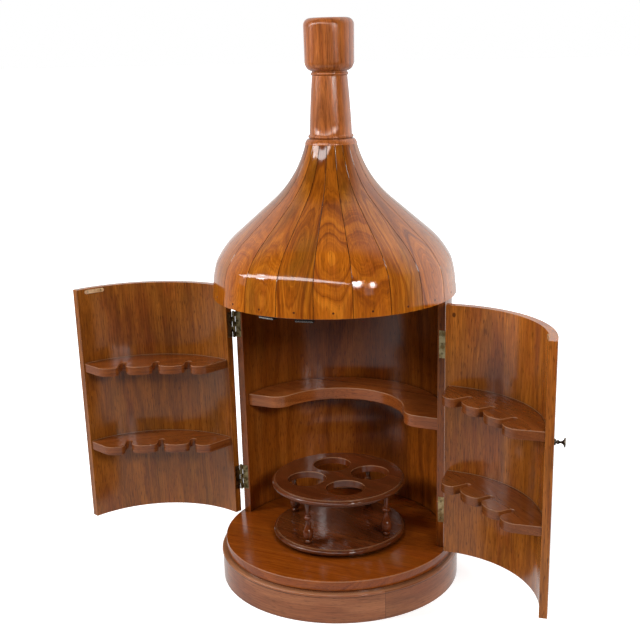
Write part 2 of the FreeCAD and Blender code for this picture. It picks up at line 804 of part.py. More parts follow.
def make_neck():
    """Make the neck, with a collar and a bead at its foot and a bead on top."""
    collar_top = "dome_top_radius - collar_slope"
    quirk = "(neck_foot_radius - 0.5)"
    quirk_top = "collar_height + quirk_height"
    bead_top = "collar_height + quirk_height + foot_bead_height"
    upper = "neck_height - top_bead_drop"
    lower = "neck_height - top_bead_drop - top_bead_height"
    place(turned("neck", [
        ("0", "-neck_spigot_length"),
        ("neck_spigot_radius", "-neck_spigot_length"),
        ("neck_spigot_radius", "0"),
        ("dome_top_radius + 0.4", "0"),
        ("dome_top_radius + 0.4", "1", (
            "(dome_top_radius + %s) / 2 + 1" % collar_top, "collar_height * 0.6")),
        (collar_top, "collar_height"),
        ("%s + quirk_depth * 0.4" % quirk, "collar_height"),
        ("%s + quirk_depth * 0.4" % quirk, quirk_top, (
            "%s + foot_bead_swell + 1.4" % quirk, "(%s + %s) / 2" % (quirk_top, bead_top))),
        (quirk + " + 0.9", bead_top),
        ("neck_foot_radius - 0.2", bead_top + " + 1", (
            "neck_mid_radius", "neck_height * 0.55")),
        ("neck_top_radius", lower + " - 1.2"),
        ("neck_top_radius - 0.6", lower + " - 0.6"),
        ("neck_top_radius - 0.2", lower, (
            "neck_top_radius + top_bead_swell", "(%s + %s) / 2" % (upper, lower))),
        ("neck_top_radius", upper),
        ("neck_top_radius", "neck_height"),
        ("0", "neck_height"),
    ]), z="dome_top")
    near_foot = "stopper_foot_round * 0.29"
    place(turned("stopper", [
        ("0", "0"),
        ("stopper_foot_radius", "0", (
            "stopper_radius - stopper_foot_round * 0.27", near_foot)),
        ("stopper_radius - 0.6", "stopper_foot_round"),
        ("stopper_radius + 0.4", "stopper_height - stopper_head_round", (
            "stopper_radius - stopper_head_round * 0.27",
            "stopper_height - stopper_head_round * 0.29")),
        ("stopper_radius - stopper_head_round", "stopper_height"),
        ("0", "stopper_height"),
    ]), z="neck_top")


def disc_corners(bore):
    """Return the profile of a carousel board, from the middle of its underside.

    The edge is a round nose between two small ledges. bore holds the corners
    from the axis out to the underside.
    """
    inset = "carousel_radius - carousel_bead_inset"
    nose = inset + " + carousel_ledge"
    step = "carousel_board - carousel_fillet"
    return bore + [
        (inset, "0"),
        (inset, "carousel_fillet"),
        (nose, "carousel_fillet", ("carousel_radius", "carousel_board / 2")),
        (nose, step),
        (inset, step),
        (inset, "carousel_board"),
        ("0", "carousel_board"),
    ]


def make_carousel():
    """Make the carousel and the washer and pin that it turns on."""
    middle = {"x": "carousel_x", "y": "carousel_y"}
    place(turned("carousel_washer", [
        ("pivot_radius", "0"),
        ("washer_radius", "0"),
        ("washer_radius", "washer_thickness"),
        ("pivot_radius", "washer_thickness"),
    ]), z="floor_top", **middle)
    place(turned("carousel_pivot", [
        ("0", "0"),
        ("pivot_radius", "0"),
        ("pivot_radius", "pivot_length - pivot_end_chamfer"),
        ("pivot_radius - pivot_end_chamfer", "pivot_length"),
        ("0", "pivot_length"),
    ]), z="strip_top", **middle)
    hub = "pivot_radius + running_gap"
    place(turned("carousel_lower_disc", disc_corners([
        ("0", "pivot_depth + pivot_end_gap"),
        (hub, "pivot_depth + pivot_end_gap"),
        (hub, "0"),
    ])), z="lower_disc_bottom", turn="spindle_turn", **middle)

    body = turned("carousel_upper_disc", disc_corners([("0", "0")]))
    hole = pocketed(body, circle(body, "hole_circle", "0", "hole_radius"),
                    "carousel_board")
    pattern = feature(body, "PolarPattern")
    pattern.Originals = [hole]
    pattern.Axis = (hole.Profile[0], ["N_Axis"])
    pattern.Angle = 360
    bind(pattern, "Occurrences", "hole_count")
    place(body, z="upper_disc_bottom", turn="hole_turn", **middle)

    foot = "spindle_foot_radius"
    vase = "spindle_vase_radius"
    waist = "spindle_waist_radius"
    bead = "spindle_bead_radius"
    top = "spindle_neck_radius"
    for n, name in enumerate(("front", "right", "back", "left")):
        place(turned("carousel_spindle_" + name, [
            ("0", "0"),
            (foot + " * 0.82", "0", (foot, "spindle_foot_mid")),
            (foot + " * 0.82", "spindle_foot_top", (vase, "spindle_vase_mid")),
            (vase + " * 0.76", "spindle_vase_top", (
                waist + " * 1.32", "spindle_taper_mid")),
            (waist, "spindle_waist_height"),
            (waist + " * 1.1", "spindle_bead_foot", (bead, "spindle_bead_mid")),
            (waist + " * 1.1", "spindle_bead_top", (
                waist + " * 1.45", "(spindle_bead_top + spindle_ring_top) / 2")),
            (waist + " * 0.95", "spindle_ring_top", (
                "(%s + %s) / 2" % (waist, top), "spindle_neck_mid")),
            (top, "carousel_spacing"),
            ("0", "carousel_spacing"),
        ]), z="lower_disc_top",
            x="carousel_x + spindle_circle * cos(spindle_turn + %d)" % (90 * n - 90),
            y="carousel_y + spindle_circle * sin(spindle_turn + %d)" % (90 * n - 90))


def report_faults():
    """Return a line for every object that isn't sound."""
    lines = []
    for thing in doc.Objects:
        if "Invalid" in thing.State or "Error" in thing.State:
            lines.append("%s: %s" % (thing.Label, thing.State))
    for thing in nodes:
        if thing.Shape.isNull() or not thing.Shape.isValid():
            lines.append("%s: shape not sound" % thing.Label)
    return lines


make_base()
make_carcass()
for door_name, door_side in (("left", -1), ("right", 1)):
    make_door(door_name, door_side)
    make_rack(door_name + "_upper_rack", door_side, "upper_rack_height")
    make_rack(door_name + "_lower_rack", door_side, "lower_rack_height")
    make_hinges(door_name, door_side)
    make_strike(door_name, door_side)
    make_catch(door_name, door_side)
make_knob()
make_dome()
make_neck()
make_carousel()
doc.recompute()

faults = report_faults()
if faults:
    print("\n".join(faults))
    sys.exit(1)
os.makedirs("parts", exist_ok=True)
for node in nodes:
    node.Shape.exportStep(os.path.join("parts", node.Label + ".step"))
    box = node.Shape.BoundBox
    print("%-28s solids %d  x %7.1f %7.1f  y %7.1f %7.1f  z %7.1f %7.1f" % (
        node.Label, len(node.Shape.Solids), box.XMin, box.XMax, box.YMin, box.YMax,
        box.ZMin, box.ZMax))
print("%d nodes" % len(nodes))
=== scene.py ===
import json
import logging
import math
from dataclasses import dataclass, replace
from enum import Enum
from functools import cache
from typing import Sequence

import bmesh
import bpy
import numpy as np
from bpy.types import ID, Material, Mesh, Node, NodeSocket as Socket, NodeTree, Object
from mathutils import Matrix, Vector

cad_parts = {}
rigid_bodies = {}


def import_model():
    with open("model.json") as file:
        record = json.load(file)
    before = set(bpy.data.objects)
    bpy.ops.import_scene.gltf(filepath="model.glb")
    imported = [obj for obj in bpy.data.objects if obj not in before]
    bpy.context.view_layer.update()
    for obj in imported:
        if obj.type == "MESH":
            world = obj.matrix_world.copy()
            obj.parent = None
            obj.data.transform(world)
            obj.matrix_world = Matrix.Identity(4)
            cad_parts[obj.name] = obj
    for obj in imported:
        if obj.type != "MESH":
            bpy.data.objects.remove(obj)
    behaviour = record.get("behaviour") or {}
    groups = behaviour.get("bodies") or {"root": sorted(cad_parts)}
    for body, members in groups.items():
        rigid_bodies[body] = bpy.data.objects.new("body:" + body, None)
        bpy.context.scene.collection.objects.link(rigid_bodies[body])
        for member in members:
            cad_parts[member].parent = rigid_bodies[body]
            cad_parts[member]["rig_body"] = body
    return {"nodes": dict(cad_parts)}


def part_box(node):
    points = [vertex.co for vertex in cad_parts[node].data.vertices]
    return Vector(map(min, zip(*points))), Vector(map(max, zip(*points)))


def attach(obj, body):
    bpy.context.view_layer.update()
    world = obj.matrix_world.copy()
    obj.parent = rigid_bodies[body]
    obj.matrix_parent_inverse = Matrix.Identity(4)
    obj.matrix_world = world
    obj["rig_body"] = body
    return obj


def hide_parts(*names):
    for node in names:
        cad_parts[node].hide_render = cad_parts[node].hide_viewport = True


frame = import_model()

log = logging.getLogger("bar_cabinet")

Colour = Point = tuple[float, float, float]
Shape = tuple[np.ndarray, list[list[int]]]

MM = 0.001
LEFT, RIGHT = -1, 1

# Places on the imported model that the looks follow, in metres and radians.
REST_TURN = {LEFT: math.radians(-108.5), RIGHT: math.radians(98)}
PLINTH_RADIUS = 300 * MM
HINGE_RADIUS = 286 * MM
INNER_RADIUS = 263 * MM
RIM_RADIUS = 291 * MM
CEILING = 724 * MM
STAVE_COUNT = 21
STAVE_TURN = math.radians(-0.7)
HOOP_JOINT = math.radians(45.8)
RACK_SPAN = (6 * MM, 403 * MM)

# The wood's noise: lumps to the metre, and the share that draws them out.
BEND_SCALE, RIPPLE_SCALE, STRENGTH_SCALE = 6, 38, 11
BROAD_SCALE, TINT_SCALE, FLUSH_SCALE = 5, 9, 14
FIBRE_SCALE, HAIR_SCALE, PORE_SCALE = 300, 1100, 430
SLOW_DRAW, TINT_DRAW, FIBRE_DRAW, PORE_DRAW = 0.25, 0.4, 0.04, 0.11
RIPPLE_SHARE = 0.16
MOUND_SHARPNESS = 120
HEART_RANGE = 0.26
LEAST_MOUND = 0.012
DOME_SLOPE = 0.45

# Edges worn and given a painted highlight, painted shade in hollows, and bumps, in
# metres.
WEAR_SHEEN_WIDTH, SHADE_REACH, BUMP_DEPTH = 2 * MM, 14 * MM, 0.2 * MM
WEAR_SHEEN_SCALE = 70
SEAM_DARK = (0.02, 0.008, 0.003)

# The studio: the level direction away from the camera, the far lamps' reach,
# and the lit ribbon's elevation at each azimuth, in degrees.
AWAY = (-0.208, 0.978)
GLOW_REACH = 3
GLOW_MIDDLE = (0.02, -0.25, 0.81)
RIBBON_STEPS, RIBBON_HALF, RIBBON_STRENGTH = 63, 4.5, 11
RIBBON_AZIMUTHS = (-80, -71, -63, -53, -44, -32, -22, -11, 0, 11, 22, 31, 44)
RIBBON_RISES = (13.5, 16.7, 21.9, 26.8, 30.7, 34.2, 36.8, 38, 37, 34.2, 29.7,
                24.5, 20.5)
FLOOR_REACH = 90
FLOOR_DROP = 0.3 * MM


def srgb(*channels: float) -> Colour:
    """Return the linear colour of a screen colour with channels of 0 to 255."""
    return tuple(s / 12.92 if s <= 0.04045 else ((s + 0.055) / 1.055) ** 2.4
                 for s in (channel / 255 for channel in channels))


def shade(colour: Colour, amount: float) -> Colour:
    """Return a linear colour made darker or lighter by a factor."""
    return tuple(channel * amount for channel in colour)


# The colour of painted highlights along edges and rims.
PAINTED_HIGHLIGHT = srgb(190, 146, 110)


def lighter(finish: "WoodFinish", amount: float) -> "WoodFinish":
    """Return a wood with each of its colours made darker or lighter by a factor."""
    return replace(finish, **{part: shade(getattr(finish, part), amount)
                              for part in ("dark", "middle", "light", "olive", "red")})


def door_matrix(side: int) -> Matrix:
    """Return the matrix that swings a closed door to its rest place.

    Args:
        side: LEFT or RIGHT.

    Returns:
        A turn about the door's hinge pin, in the row frame.
    """
    pin = Vector((side * HINGE_RADIUS, 0, 0))
    return Matrix.Translation(pin) @ Matrix.Rotation(REST_TURN[side], 4, "Z") \
        @ Matrix.Translation(-pin)


def placed(name: str, data: ID) -> Object:
    """Add an object to the scene.

    Args:
        name: its name.
        data: its mesh, light or camera.

    Returns:
        The object.
    """
    made = bpy.data.objects.new(name, data)
    bpy.context.scene.collection.objects.link(made)
    return made


class Grain(Enum):
    """How the boards of a piece lie, which decides the grain's coordinates."""

    STAVE = "stave"
    WALL = "wall"
    HOOP = "hoop"
    PLANK = "plank"
    TURNED = "turned"


@dataclass(frozen=True)
class WoodFinish:
    """The look of one kind of lacquered wood."""

    name: str
    dark: Colour
    middle: Colour
    light: Colour
    olive: Colour
    red: Colour = srgb(120, 52, 20)
    ring_spacing: float = 0.007
    tilt: float = 0.03
    depth: float = 0.06
    warp: float = 0.06
    mound: float = 0.04
    contrast: float = 0.7
    lines: float = 0.35
    fibre: float = 0.22
    pores: float = 0.4
    olive_share: float = 0.35
    red_share: float = 0.3
    roughness: float = 0.17
    bump: float = 0.1
    # How much edges are worn and lit by a painted highlight, and how dark the painted
    # shade is where surfaces meet.
    wear_and_sheen: float = 0.8
    painted_shade: float = 0.65


@dataclass(frozen=True)
class MetalFinish:
    """The look of one kind of metal, with its stains to the metre."""

    name: str
    colour: Colour
    stain: Colour
    roughness: float
    stain_scale: float


@dataclass(frozen=True)
class PlasticFinish:
    """The look of one kind of moulded plastic."""

    name: str
    colour: Colour
    roughness: float


@dataclass(frozen=True)
class Band:
    """A thin level line on a piece: painted shade dark in a groove, or a pale painted
    highlight along an edge.

    It keeps between two limits across the board, and to less than a depth
    into it, which on a wall is the radius.
    """

    height: float
    share: float
    half: float = 1.3 * MM
    pale: bool = True
    start: float = -9
    stop: float = 9
    depth: float = 9


@dataclass(frozen=True)
class Spot:
    """A round or oval mark in a board's own coordinates, in metres."""

    across: float
    along: float
    width: float
    height: float
    strength: float


class Graph:
    """Adds nodes to one shader tree and joins them."""

    def __init__(self, tree: NodeTree) -> None:
        self.tree = tree

    def node(self, kind: str, **settings: object) -> Node:
        """Add one shader node.

        Args:
            kind: its type, without the words ShaderNode.
            settings: its properties by name.

        Returns:
            The node.
        """
        made = self.tree.nodes.new("ShaderNode" + kind)
        for key, value in settings.items():
            setattr(made, key, value)
        return made

    def feed(self, socket: Socket, source: object) -> None:
        """Join a socket to another, or set its plain value.

        Args:
            socket: the node's input.
            source: an output, or the value.
        """
        if isinstance(source, Socket):
            self.tree.links.new(source, socket)
        else:
            socket.default_value = (*source, 1) if socket.type == "RGBA" else source

    def fill(self, node: Node, **sources: object) -> None:
        """Feed a node's sockets by name, with an underscore for a space."""
        for name, source in sources.items():
            self.feed(node.inputs[name.replace("_", " ")], source)

    def feed_all(self, node: Node, *sources: object) -> Node:
        """Feed a node's first sockets in their order.

        Args:
            node: the node.
            sources: an output or a value for each socket.

        Returns:
            The node.
        """
        for socket, source in zip(node.inputs, sources):
            self.feed(socket, source)
        return node

    def math(self, operation: str, *sources: object) -> Socket:
        """Return the result of one arithmetic step."""
        made = self.node("Math", operation=operation)
        return self.feed_all(made, *sources).outputs[0]

    def add(self, a: object, b: object) -> Socket:
        """Return a plus b."""
        return self.math("ADD", a, b)

    def less(self, a: object, b: object) -> Socket:
        """Return a less b."""
        return self.math("SUBTRACT", a, b)

    def times(self, a: object, b: object) -> Socket:
        """Return a times b."""
        return self.math("MULTIPLY", a, b)

    def over(self, a: object, b: object) -> Socket:
        """Return a over b."""
        return self.math("DIVIDE", a, b)

    def length(self, source: object) -> Socket:
        """Return the length of a vector."""
        made = self.node("VectorMath", operation="LENGTH")
        return self.feed_all(made, source).outputs["Value"]

    def split(self, source: object) -> tuple[Socket, ...]:
        """Return the three parts of a vector."""
        return tuple(self.feed_all(self.node("SeparateXYZ"), source).outputs)

    def join(self, x: object, y: object, z: object) -> Socket:
        """Return a vector made of three parts."""
        return self.feed_all(self.node("CombineXYZ"), x, y, z).outputs[0]

    def coordinates(self, kind: str = "Object") -> Socket:
        """Return a point's own coordinates."""
        return self.node("TexCoord").outputs[kind]

    def noise(self, where: object, scale: float, detail: float = 2,
              roughness: float = 0.5, line: bool = False) -> Socket:
        """Return smooth noise from 0 to 1.

        Args:
            where: the point, or the one value.
            scale: its lumps to the metre.
            detail: its layers.
            roughness: how much the finer layers count.
            line: whether it runs along one value.

        Returns:
            The noise.
        """
        made = self.node("TexNoise", noise_dimensions="1D" if line else "3D")
        self.feed(made.inputs["W" if line else "Vector"], where)
        self.fill(made, Scale=scale, Detail=detail, Roughness=roughness)
        return made.outputs[0]

    def remap(self, value: object, low: float, high: float, to_low: float = 0,
              to_high: float = 1, smooth: bool = True) -> Socket:
        """Return a value carried from one range to another, and held there.

        Args:
            value: the value.
            low: the start of its range.
            high: the end of its range.
            to_low: what the start becomes.
            to_high: what the end becomes.
            smooth: whether it leaves and arrives slowly.

        Returns:
            The carried value.
        """
        made = self.node("MapRange", clamp=True,
                         interpolation_type="SMOOTHSTEP" if smooth else "LINEAR")
        return self.feed_all(made, value, low, high, to_low, to_high).outputs[0]

    def spread(self, value: object, low: float, high: float) -> Socket:
        """Return a value of 0 to 1 carried evenly to another range."""
        return self.remap(value, 0, 1, low, high, smooth=False)

    def mix(self, share: object, first: object, second: object,
            blend: str = "MIX") -> Socket:
        """Return two colours mixed by a share.

        Args:
            share: the share of the second.
            first: the first colour.
            second: the second colour.
            blend: how the second is laid over the first.

        Returns:
            The mixed colour.
        """
        made = self.node("Mix", data_type="RGBA", blend_type=blend)
        for place, source in ((0, share), (6, first), (7, second)):
            self.feed(made.inputs[place], source)
        return made.outputs[2]

    def dim(self, colour: object, factor: object) -> Socket:
        """Return a colour times a grey factor."""
        return self.mix(1, colour, self.join(factor, factor, factor), "MULTIPLY")

    def bump(self, height: object, strength: float) -> Socket:
        """Return normals bent by a height.

        Args:
            height: the height, from 0 to 1.
            strength: how much it counts.

        Returns:
            The normals.
        """
        made = self.node("Bump")
        self.fill(made, Strength=strength, Distance=BUMP_DEPTH, Height=height)
        return made.outputs[0]


def begin(owner: ID) -> Graph:
    """Empty the node tree of a material or a world.

    Args:
        owner: the material or world.

    Returns:
        The tree's graph.
    """
    owner.use_nodes = True
    owner.node_tree.nodes.clear()
    return Graph(owner.node_tree)


def begin_surface(name: str) -> tuple[Material, Graph, Node]:
    """Start a material.

    Args:
        name: its name.

    Returns:
        It, its graph and its surface's node.
    """
    material = bpy.data.materials.new(name)
    g = begin(material)
    surface = g.node("BsdfPrincipled")
    g.fill(g.node("OutputMaterial"), Surface=surface.outputs[0])
    return material, g, surface


class NodeGroups:
    """Makes the shader node groups, each once."""

    def _start(self, name: str, inputs: Sequence[str],
               outputs: Sequence[str]) -> tuple[Graph, dict, Node]:
        """Open a group with its sockets.

        Args:
            name: the group's name.
            inputs: the names of its inputs.
            outputs: the names of its outputs.

        Returns:
            Its graph, its inputs by name and its output node.
        """
        tree = bpy.data.node_groups.new(name, "ShaderNodeTree")
        for way, labels in (("INPUT", inputs), ("OUTPUT", outputs)):
            for label in labels:
                kind = "Vector" if label in ("Vector", "Centre", "Board") else "Float"
                tree.interface.new_socket(label, in_out=way,
                                          socket_type="NodeSocket" + kind)
        source = tree.nodes.new("NodeGroupInput")
        sink = tree.nodes.new("NodeGroupOutput")
        return Graph(tree), {s.name: s for s in source.outputs}, sink

    @cache
    def board(self, grain: Grain) -> NodeTree:
        """Return the group that lays a board's own coordinates on a piece.

        Its Board output runs across the board in x, into it in y and along
        its grain in z, in metres. On a wall, across is the angle about the
        centre times the radius. On a stave, across starts at the stave's
        middle, and along follows the dome's curve. Index tells staves apart,
        and Edge is the distance to a stave's edge.

        Args:
            grain: how the boards lie.

        Returns:
            The node group.
        """
        g, given, sink = self._start("board_" + grain.value, ("Vector", "Centre", "Turn"),
                                     ("Board", "Index", "Edge"))
        moved = g.node("VectorMath", operation="SUBTRACT")
        g.feed_all(moved, given["Vector"], given["Centre"])
        turned = g.node("VectorRotate", rotation_type="Z_AXIS")
        g.fill(turned, Vector=moved.outputs[0], Angle=given["Turn"])
        x, y, z = g.split(turned.outputs[0])
        index: object = 0
        edge: object = 1
        radius = g.length(g.join(x, y, 0))
        angle = g.math("ARCTAN2", y, x)
        if grain is Grain.TURNED:
            board = g.join(x, y, z)
        elif grain is Grain.PLANK:
            board = g.join(y, z, x)
        elif grain is Grain.WALL:
            board = g.join(g.times(angle, INNER_RADIUS), radius, z)
        else:
            hoop = grain is Grain.HOOP
            pitch = math.pi / 2 if hoop else 2 * math.pi / STAVE_COUNT
            first = HOOP_JOINT if hoop else STAVE_TURN - math.pi / 2
            count = g.over(g.less(angle, first), pitch)
            index = g.math("FLOOR", count)
            local = g.less(g.less(count, index), 0.5)
            width = g.times(PLINTH_RADIUS if hoop else radius, pitch)
            edge = g.times(width, g.less(0.5, g.math("ABSOLUTE", local)))
            if hoop:
                board = g.join(z, radius, g.times(angle, PLINTH_RADIUS))
            else:
                fall = g.times(g.less(RIM_RADIUS, radius), DOME_SLOPE)
                board = g.join(g.times(local, width), 0,
                               g.add(g.less(z, CEILING), fall))
        g.fill(sink, Board=board, Index=index, Edge=edge)
        return g.tree

    @cache
    def figure(self) -> NodeTree:
        """Return the group that grows the wood's figure in a board.

        The rings are those of a log whose heart lies a depth below the board
        and tilts to it, so a ring that leaves the board closes in an arch,
        and in an oval where the heart rises in a mound. A point's ring is its
        distance from the heart, bent by slow noise. Bands and Lines are noise
        along that distance, so rings differ in width and strength.

        Returns:
            The node group.
        """
        g, given, sink = self._start(
            "wood_figure",
            ("Board", "Seed", "Spacing", "Tilt", "Depth", "Shift", "Warp", "Mound"),
            ("Bands", "Lines", "Broad", "Tint", "Flush", "Fibre", "Pores"))
        x, y, z = g.split(given["Board"])
        moved = g.add(x, g.times(given["Seed"], 3.71))

        def drawn(share: float, lift: float = 0) -> Socket:
            """Return the board's point, with the run along the grain shortened."""
            return g.join(g.add(moved, lift), y, g.times(z, share))

        slow, fine = drawn(SLOW_DRAW), drawn(FIBRE_DRAW)
        bend = g.times(g.less(g.noise(slow, BEND_SCALE), 0.5), given["Warp"])
        ripple = g.times(g.less(g.noise(slow, RIPPLE_SCALE, 2, 0.6), 0.5),
                         g.times(given["Warp"], RIPPLE_SHARE))
        offset = g.less(z, given["Shift"])
        well = g.math("EXPONENT", g.times(g.times(offset, offset), -MOUND_SHARPNESS))
        lean = g.add(g.times(offset, given["Tilt"]),
                     g.times(g.less(1, well), given["Mound"]))
        below = g.add(g.add(y, given["Depth"]), g.add(lean, bend))
        heart = g.length(g.join(g.add(x, bend), below, 0))
        ring = g.add(g.over(g.add(heart, ripple), given["Spacing"]),
                     g.times(given["Seed"], 17.3))
        thin = g.remap(g.noise(ring, 2.1, line=True), 0.54, 0.68)
        strength = g.remap(g.noise(slow, STRENGTH_SCALE, 1), 0.35, 0.65, 0.25, 1)
        streak = g.add(g.times(g.noise(fine, FIBRE_SCALE, 2, 0.6), 0.6),
                       g.times(g.noise(fine, HAIR_SCALE, 2, 0.6), 0.4))
        g.fill(
            sink, Lines=g.times(thin, strength),
            Bands=g.remap(g.noise(ring, 0.5, 4, 0.68, line=True), 0.33, 0.67,
                          smooth=False),
            Broad=g.remap(g.noise(slow, BROAD_SCALE, 3, 0.6), 0.32, 0.68, smooth=False),
            Tint=g.remap(g.noise(drawn(TINT_DRAW, 5.3), TINT_SCALE, 3, 0.6), 0.48, 0.72),
            Flush=g.remap(g.noise(drawn(SLOW_DRAW, 9.1), FLUSH_SCALE, 3, 0.65),
                          0.46, 0.68),
            Fibre=g.remap(streak, 0.36, 0.64, smooth=False),
            Pores=g.remap(g.noise(drawn(PORE_DRAW), PORE_SCALE, 1), 0.58, 0.70))
        return g.tree

    @cache
    def worn_sheen_and_shade(self) -> NodeTree:
        """Return the group that finds worn edges, with a painted highlight, and hollows,
        with painted shade.

        Its first output is high, in patches, where the rounded normal turns away from
        the true one: a worn edge, and a painted highlight on it. Its second is high
        where other surfaces lie close by: painted shade from occlusion.

        Returns:
            The node group.
        """
        g, given, sink = self._start("wear_sheen_and_shade", ("Vector", "Wear", "Dirt"),
                                     ("Worn", "Dirty"))
        rounded = g.node("Bevel", samples=4)
        g.fill(rounded, Radius=WEAR_SHEEN_WIDTH)
        facing = g.node("VectorMath", operation="DOT_PRODUCT")
        g.feed_all(facing, rounded.outputs[0], g.node("NewGeometry").outputs["Normal"])
        hollow = g.node("AmbientOcclusion", samples=4)
        g.fill(hollow, Distance=SHADE_REACH)
        patches = g.remap(g.noise(given["Vector"], WEAR_SHEEN_SCALE, 3), 0.38, 0.62, 0.35, 1)
        edge = g.remap(facing.outputs["Value"], 0.8, 0.98, given["Wear"], 0)
        g.fill(sink, Worn=g.times(edge, patches),
               Dirty=g.remap(hollow.outputs["AO"], 0.3, 0.8, given["Dirt"], 0))
        return g.tree


class Materials:
    """Makes the procedural materials."""

    def __init__(self) -> None:
        self.groups = NodeGroups()

    def wood(self, finish: WoodFinish, grain: Grain, name: str = "", seed: float = 0,
             centre: Point = (0, 0, 0), turn: float = 0,
             marks: Sequence[Spot] = (), bands: Sequence[Band] = (),
             painted_light_ramp: tuple[float, ...] = ()) -> Material:
        """Make one lacquered wood.

        The colour runs from light to dark with the rings, is drawn towards olive and
        red in slow patches, and is darkened by thin ring lines, fibres and pores.
        Edges are worn and lightened with a painted highlight, and painted shade
        darkens it where surfaces meet. Bands paint shade in grooves and highlights
        along edges, and a scale with height paints light and shade. Each stave has
        a log's heart and a lightness of its own.

        Args:
            finish: the wood's look.
            grain: how its boards lie.
            name: the material's name, or none for the finish's own.
            seed: picks the figure.
            centre: the point the coordinates are measured from, in metres.
            turn: the turn of the coordinates about z, in radians.
            marks: knots and other dark marks.
            bands: thin level lines: painted shade in a groove, or a painted highlight
                along an edge such as a shelf's.
            painted_light_ramp: painted light and shade by height: two heights, and the
                factor on the colour at each, or none.

        Returns:
            The material.
        """
        material, g, surface = begin_surface(name or finish.name)
        where = g.coordinates()
        board = g.node("Group", node_tree=self.groups.board(grain))
        g.fill(board, Vector=where, Centre=centre, Turn=turn)
        index = g.add(board.outputs["Index"], seed)
        figure = g.node("Group", node_tree=self.groups.figure())
        g.fill(figure, Board=board.outputs["Board"], Seed=index, Warp=finish.warp,
               Spacing=finish.ring_spacing, Tilt=finish.tilt, Depth=finish.depth)
        grown, edge = figure.outputs, board.outputs["Edge"]
        pore = g.times(grown["Pores"], finish.pores)
        colour = g.mix(pore, self._grown(g, finish, grown), shade(finish.dark, 0.45))
        if grain is Grain.STAVE:
            pick = g.node("TexWhiteNoise", noise_dimensions="1D")
            g.fill(pick, W=index)
            first, second, own = g.split(pick.outputs["Color"])
            g.fill(figure, Depth=g.spread(first, 0, finish.depth * 2),
                   Shift=g.spread(second, 0, HEART_RANGE),
                   Mound=g.spread(own, LEAST_MOUND, finish.mound))
            colour = g.dim(colour, g.spread(own, 0.86, 1.12))
            colour = g.mix(g.remap(edge, 0.5 * MM, 1.4 * MM, 0.7, 0), colour, SEAM_DARK)
        if grain is Grain.HOOP:
            own = g.noise(board.outputs["Index"], 3.7, 0, line=True)
            colour = g.dim(colour, g.remap(own, 0.3, 0.7, 0.9, 1.1, smooth=False))
            colour = g.mix(g.remap(edge, 0.4 * MM, 1 * MM, 0.6, 0), colour,
                           shade(finish.dark, 0.4))
        height = g.split(where)[2]
        # Painted light and shade: the colour scaled with height.
        if painted_light_ramp:
            colour = g.dim(colour, g.remap(height, *painted_light_ramp))
        across, into, along = g.split(board.outputs["Board"])
        # Level bands: painted shade in grooves, painted highlights along edges.
        for band in bands:
            off = g.math("ABSOLUTE", g.less(height, band.height))
            kept = g.math("COMPARE", across, (band.start + band.stop) / 2,
                          (band.stop - band.start) / 2)
            kept = g.times(kept, g.math("LESS_THAN", into, band.depth))
            line = g.times(g.remap(off, band.half * 0.3, band.half, band.share, 0), kept)
            colour = g.mix(line, colour, PAINTED_HIGHLIGHT if band.pale else shade(finish.dark, 0.2))
        for mark in marks:
            away = g.length(g.join(g.over(g.less(across, mark.across), mark.width),
                                   g.over(g.less(along, mark.along), mark.height), 0))
            colour = g.mix(g.remap(away, 0.6, 1, mark.strength, 0), colour,
                           shade(finish.dark, 0.3))
        # Edges lightened as worn and as a painted highlight; painted shade where surfaces
        # meet.
        worn_sheen_and_shade = g.node("Group", node_tree=self.groups.worn_sheen_and_shade())
        g.fill(worn_sheen_and_shade, Vector=where, Wear=finish.wear_and_sheen, Dirt=finish.painted_shade)
        colour = g.mix(worn_sheen_and_shade.outputs["Worn"], colour, shade(finish.light, 1.9))
        colour = g.mix(worn_sheen_and_shade.outputs["Dirty"], colour, shade(finish.dark, 0.2))
        g.fill(surface, IOR=1.5, Base_Color=colour,
               Roughness=g.spread(grown["Fibre"], finish.roughness * 0.92,
                                  finish.roughness * 1.1),
               Normal=g.bump(g.less(grown["Fibre"], pore), finish.bump))
        return material

    def _grown(self, g: Graph, finish: WoodFinish,
               grown: bpy.types.bpy_prop_collection) -> Socket:
        """Return the wood's colour as it has grown.

        Args:
            g: the material's graph.
            finish: the wood's look.
            grown: the outputs of the wood's figure.

        Returns:
            The colour with rings, tints and fibres.
        """
        tone = g.add(g.times(grown["Bands"], 0.6), g.times(grown["Broad"], 0.4))
        tone = g.add(g.times(g.less(tone, 0.5), finish.contrast), 0.5)
        colour = g.mix(g.remap(tone, 0, 0.5, smooth=False), finish.light, finish.middle)
        colour = g.mix(g.remap(tone, 0.5, 1, smooth=False), colour, finish.dark)
        for part, share, drawn_to in (("Tint", finish.olive_share, finish.olive),
                                      ("Flush", finish.red_share, finish.red),
                                      ("Lines", finish.lines, shade(finish.dark, 0.75))):
            colour = g.mix(g.times(grown[part], share), colour, drawn_to)
        return g.dim(colour, g.spread(grown["Fibre"], 1 - finish.fibre,
                                      1 + finish.fibre * 0.7))

    def metal(self, finish: MetalFinish) -> Material:
        """Make one metal with stained patches and fine rubbing in its roughness.

        Args:
            finish: the metal's look.

        Returns:
            The material.
        """
        material, g, surface = begin_surface(finish.name)
        where = g.coordinates()
        patch = g.remap(g.noise(where, finish.stain_scale, 4, 0.6), 0.38, 0.66)
        wear_and_sheen = g.noise(where, 1400)
        g.fill(surface, Metallic=1, Base_Color=g.mix(patch, finish.colour, finish.stain),
               Roughness=g.remap(wear_and_sheen, 0.3, 0.7, finish.roughness * 0.8,
                                 finish.roughness * 1.3, smooth=False),
               Normal=g.bump(wear_and_sheen, 0.15))
        return material

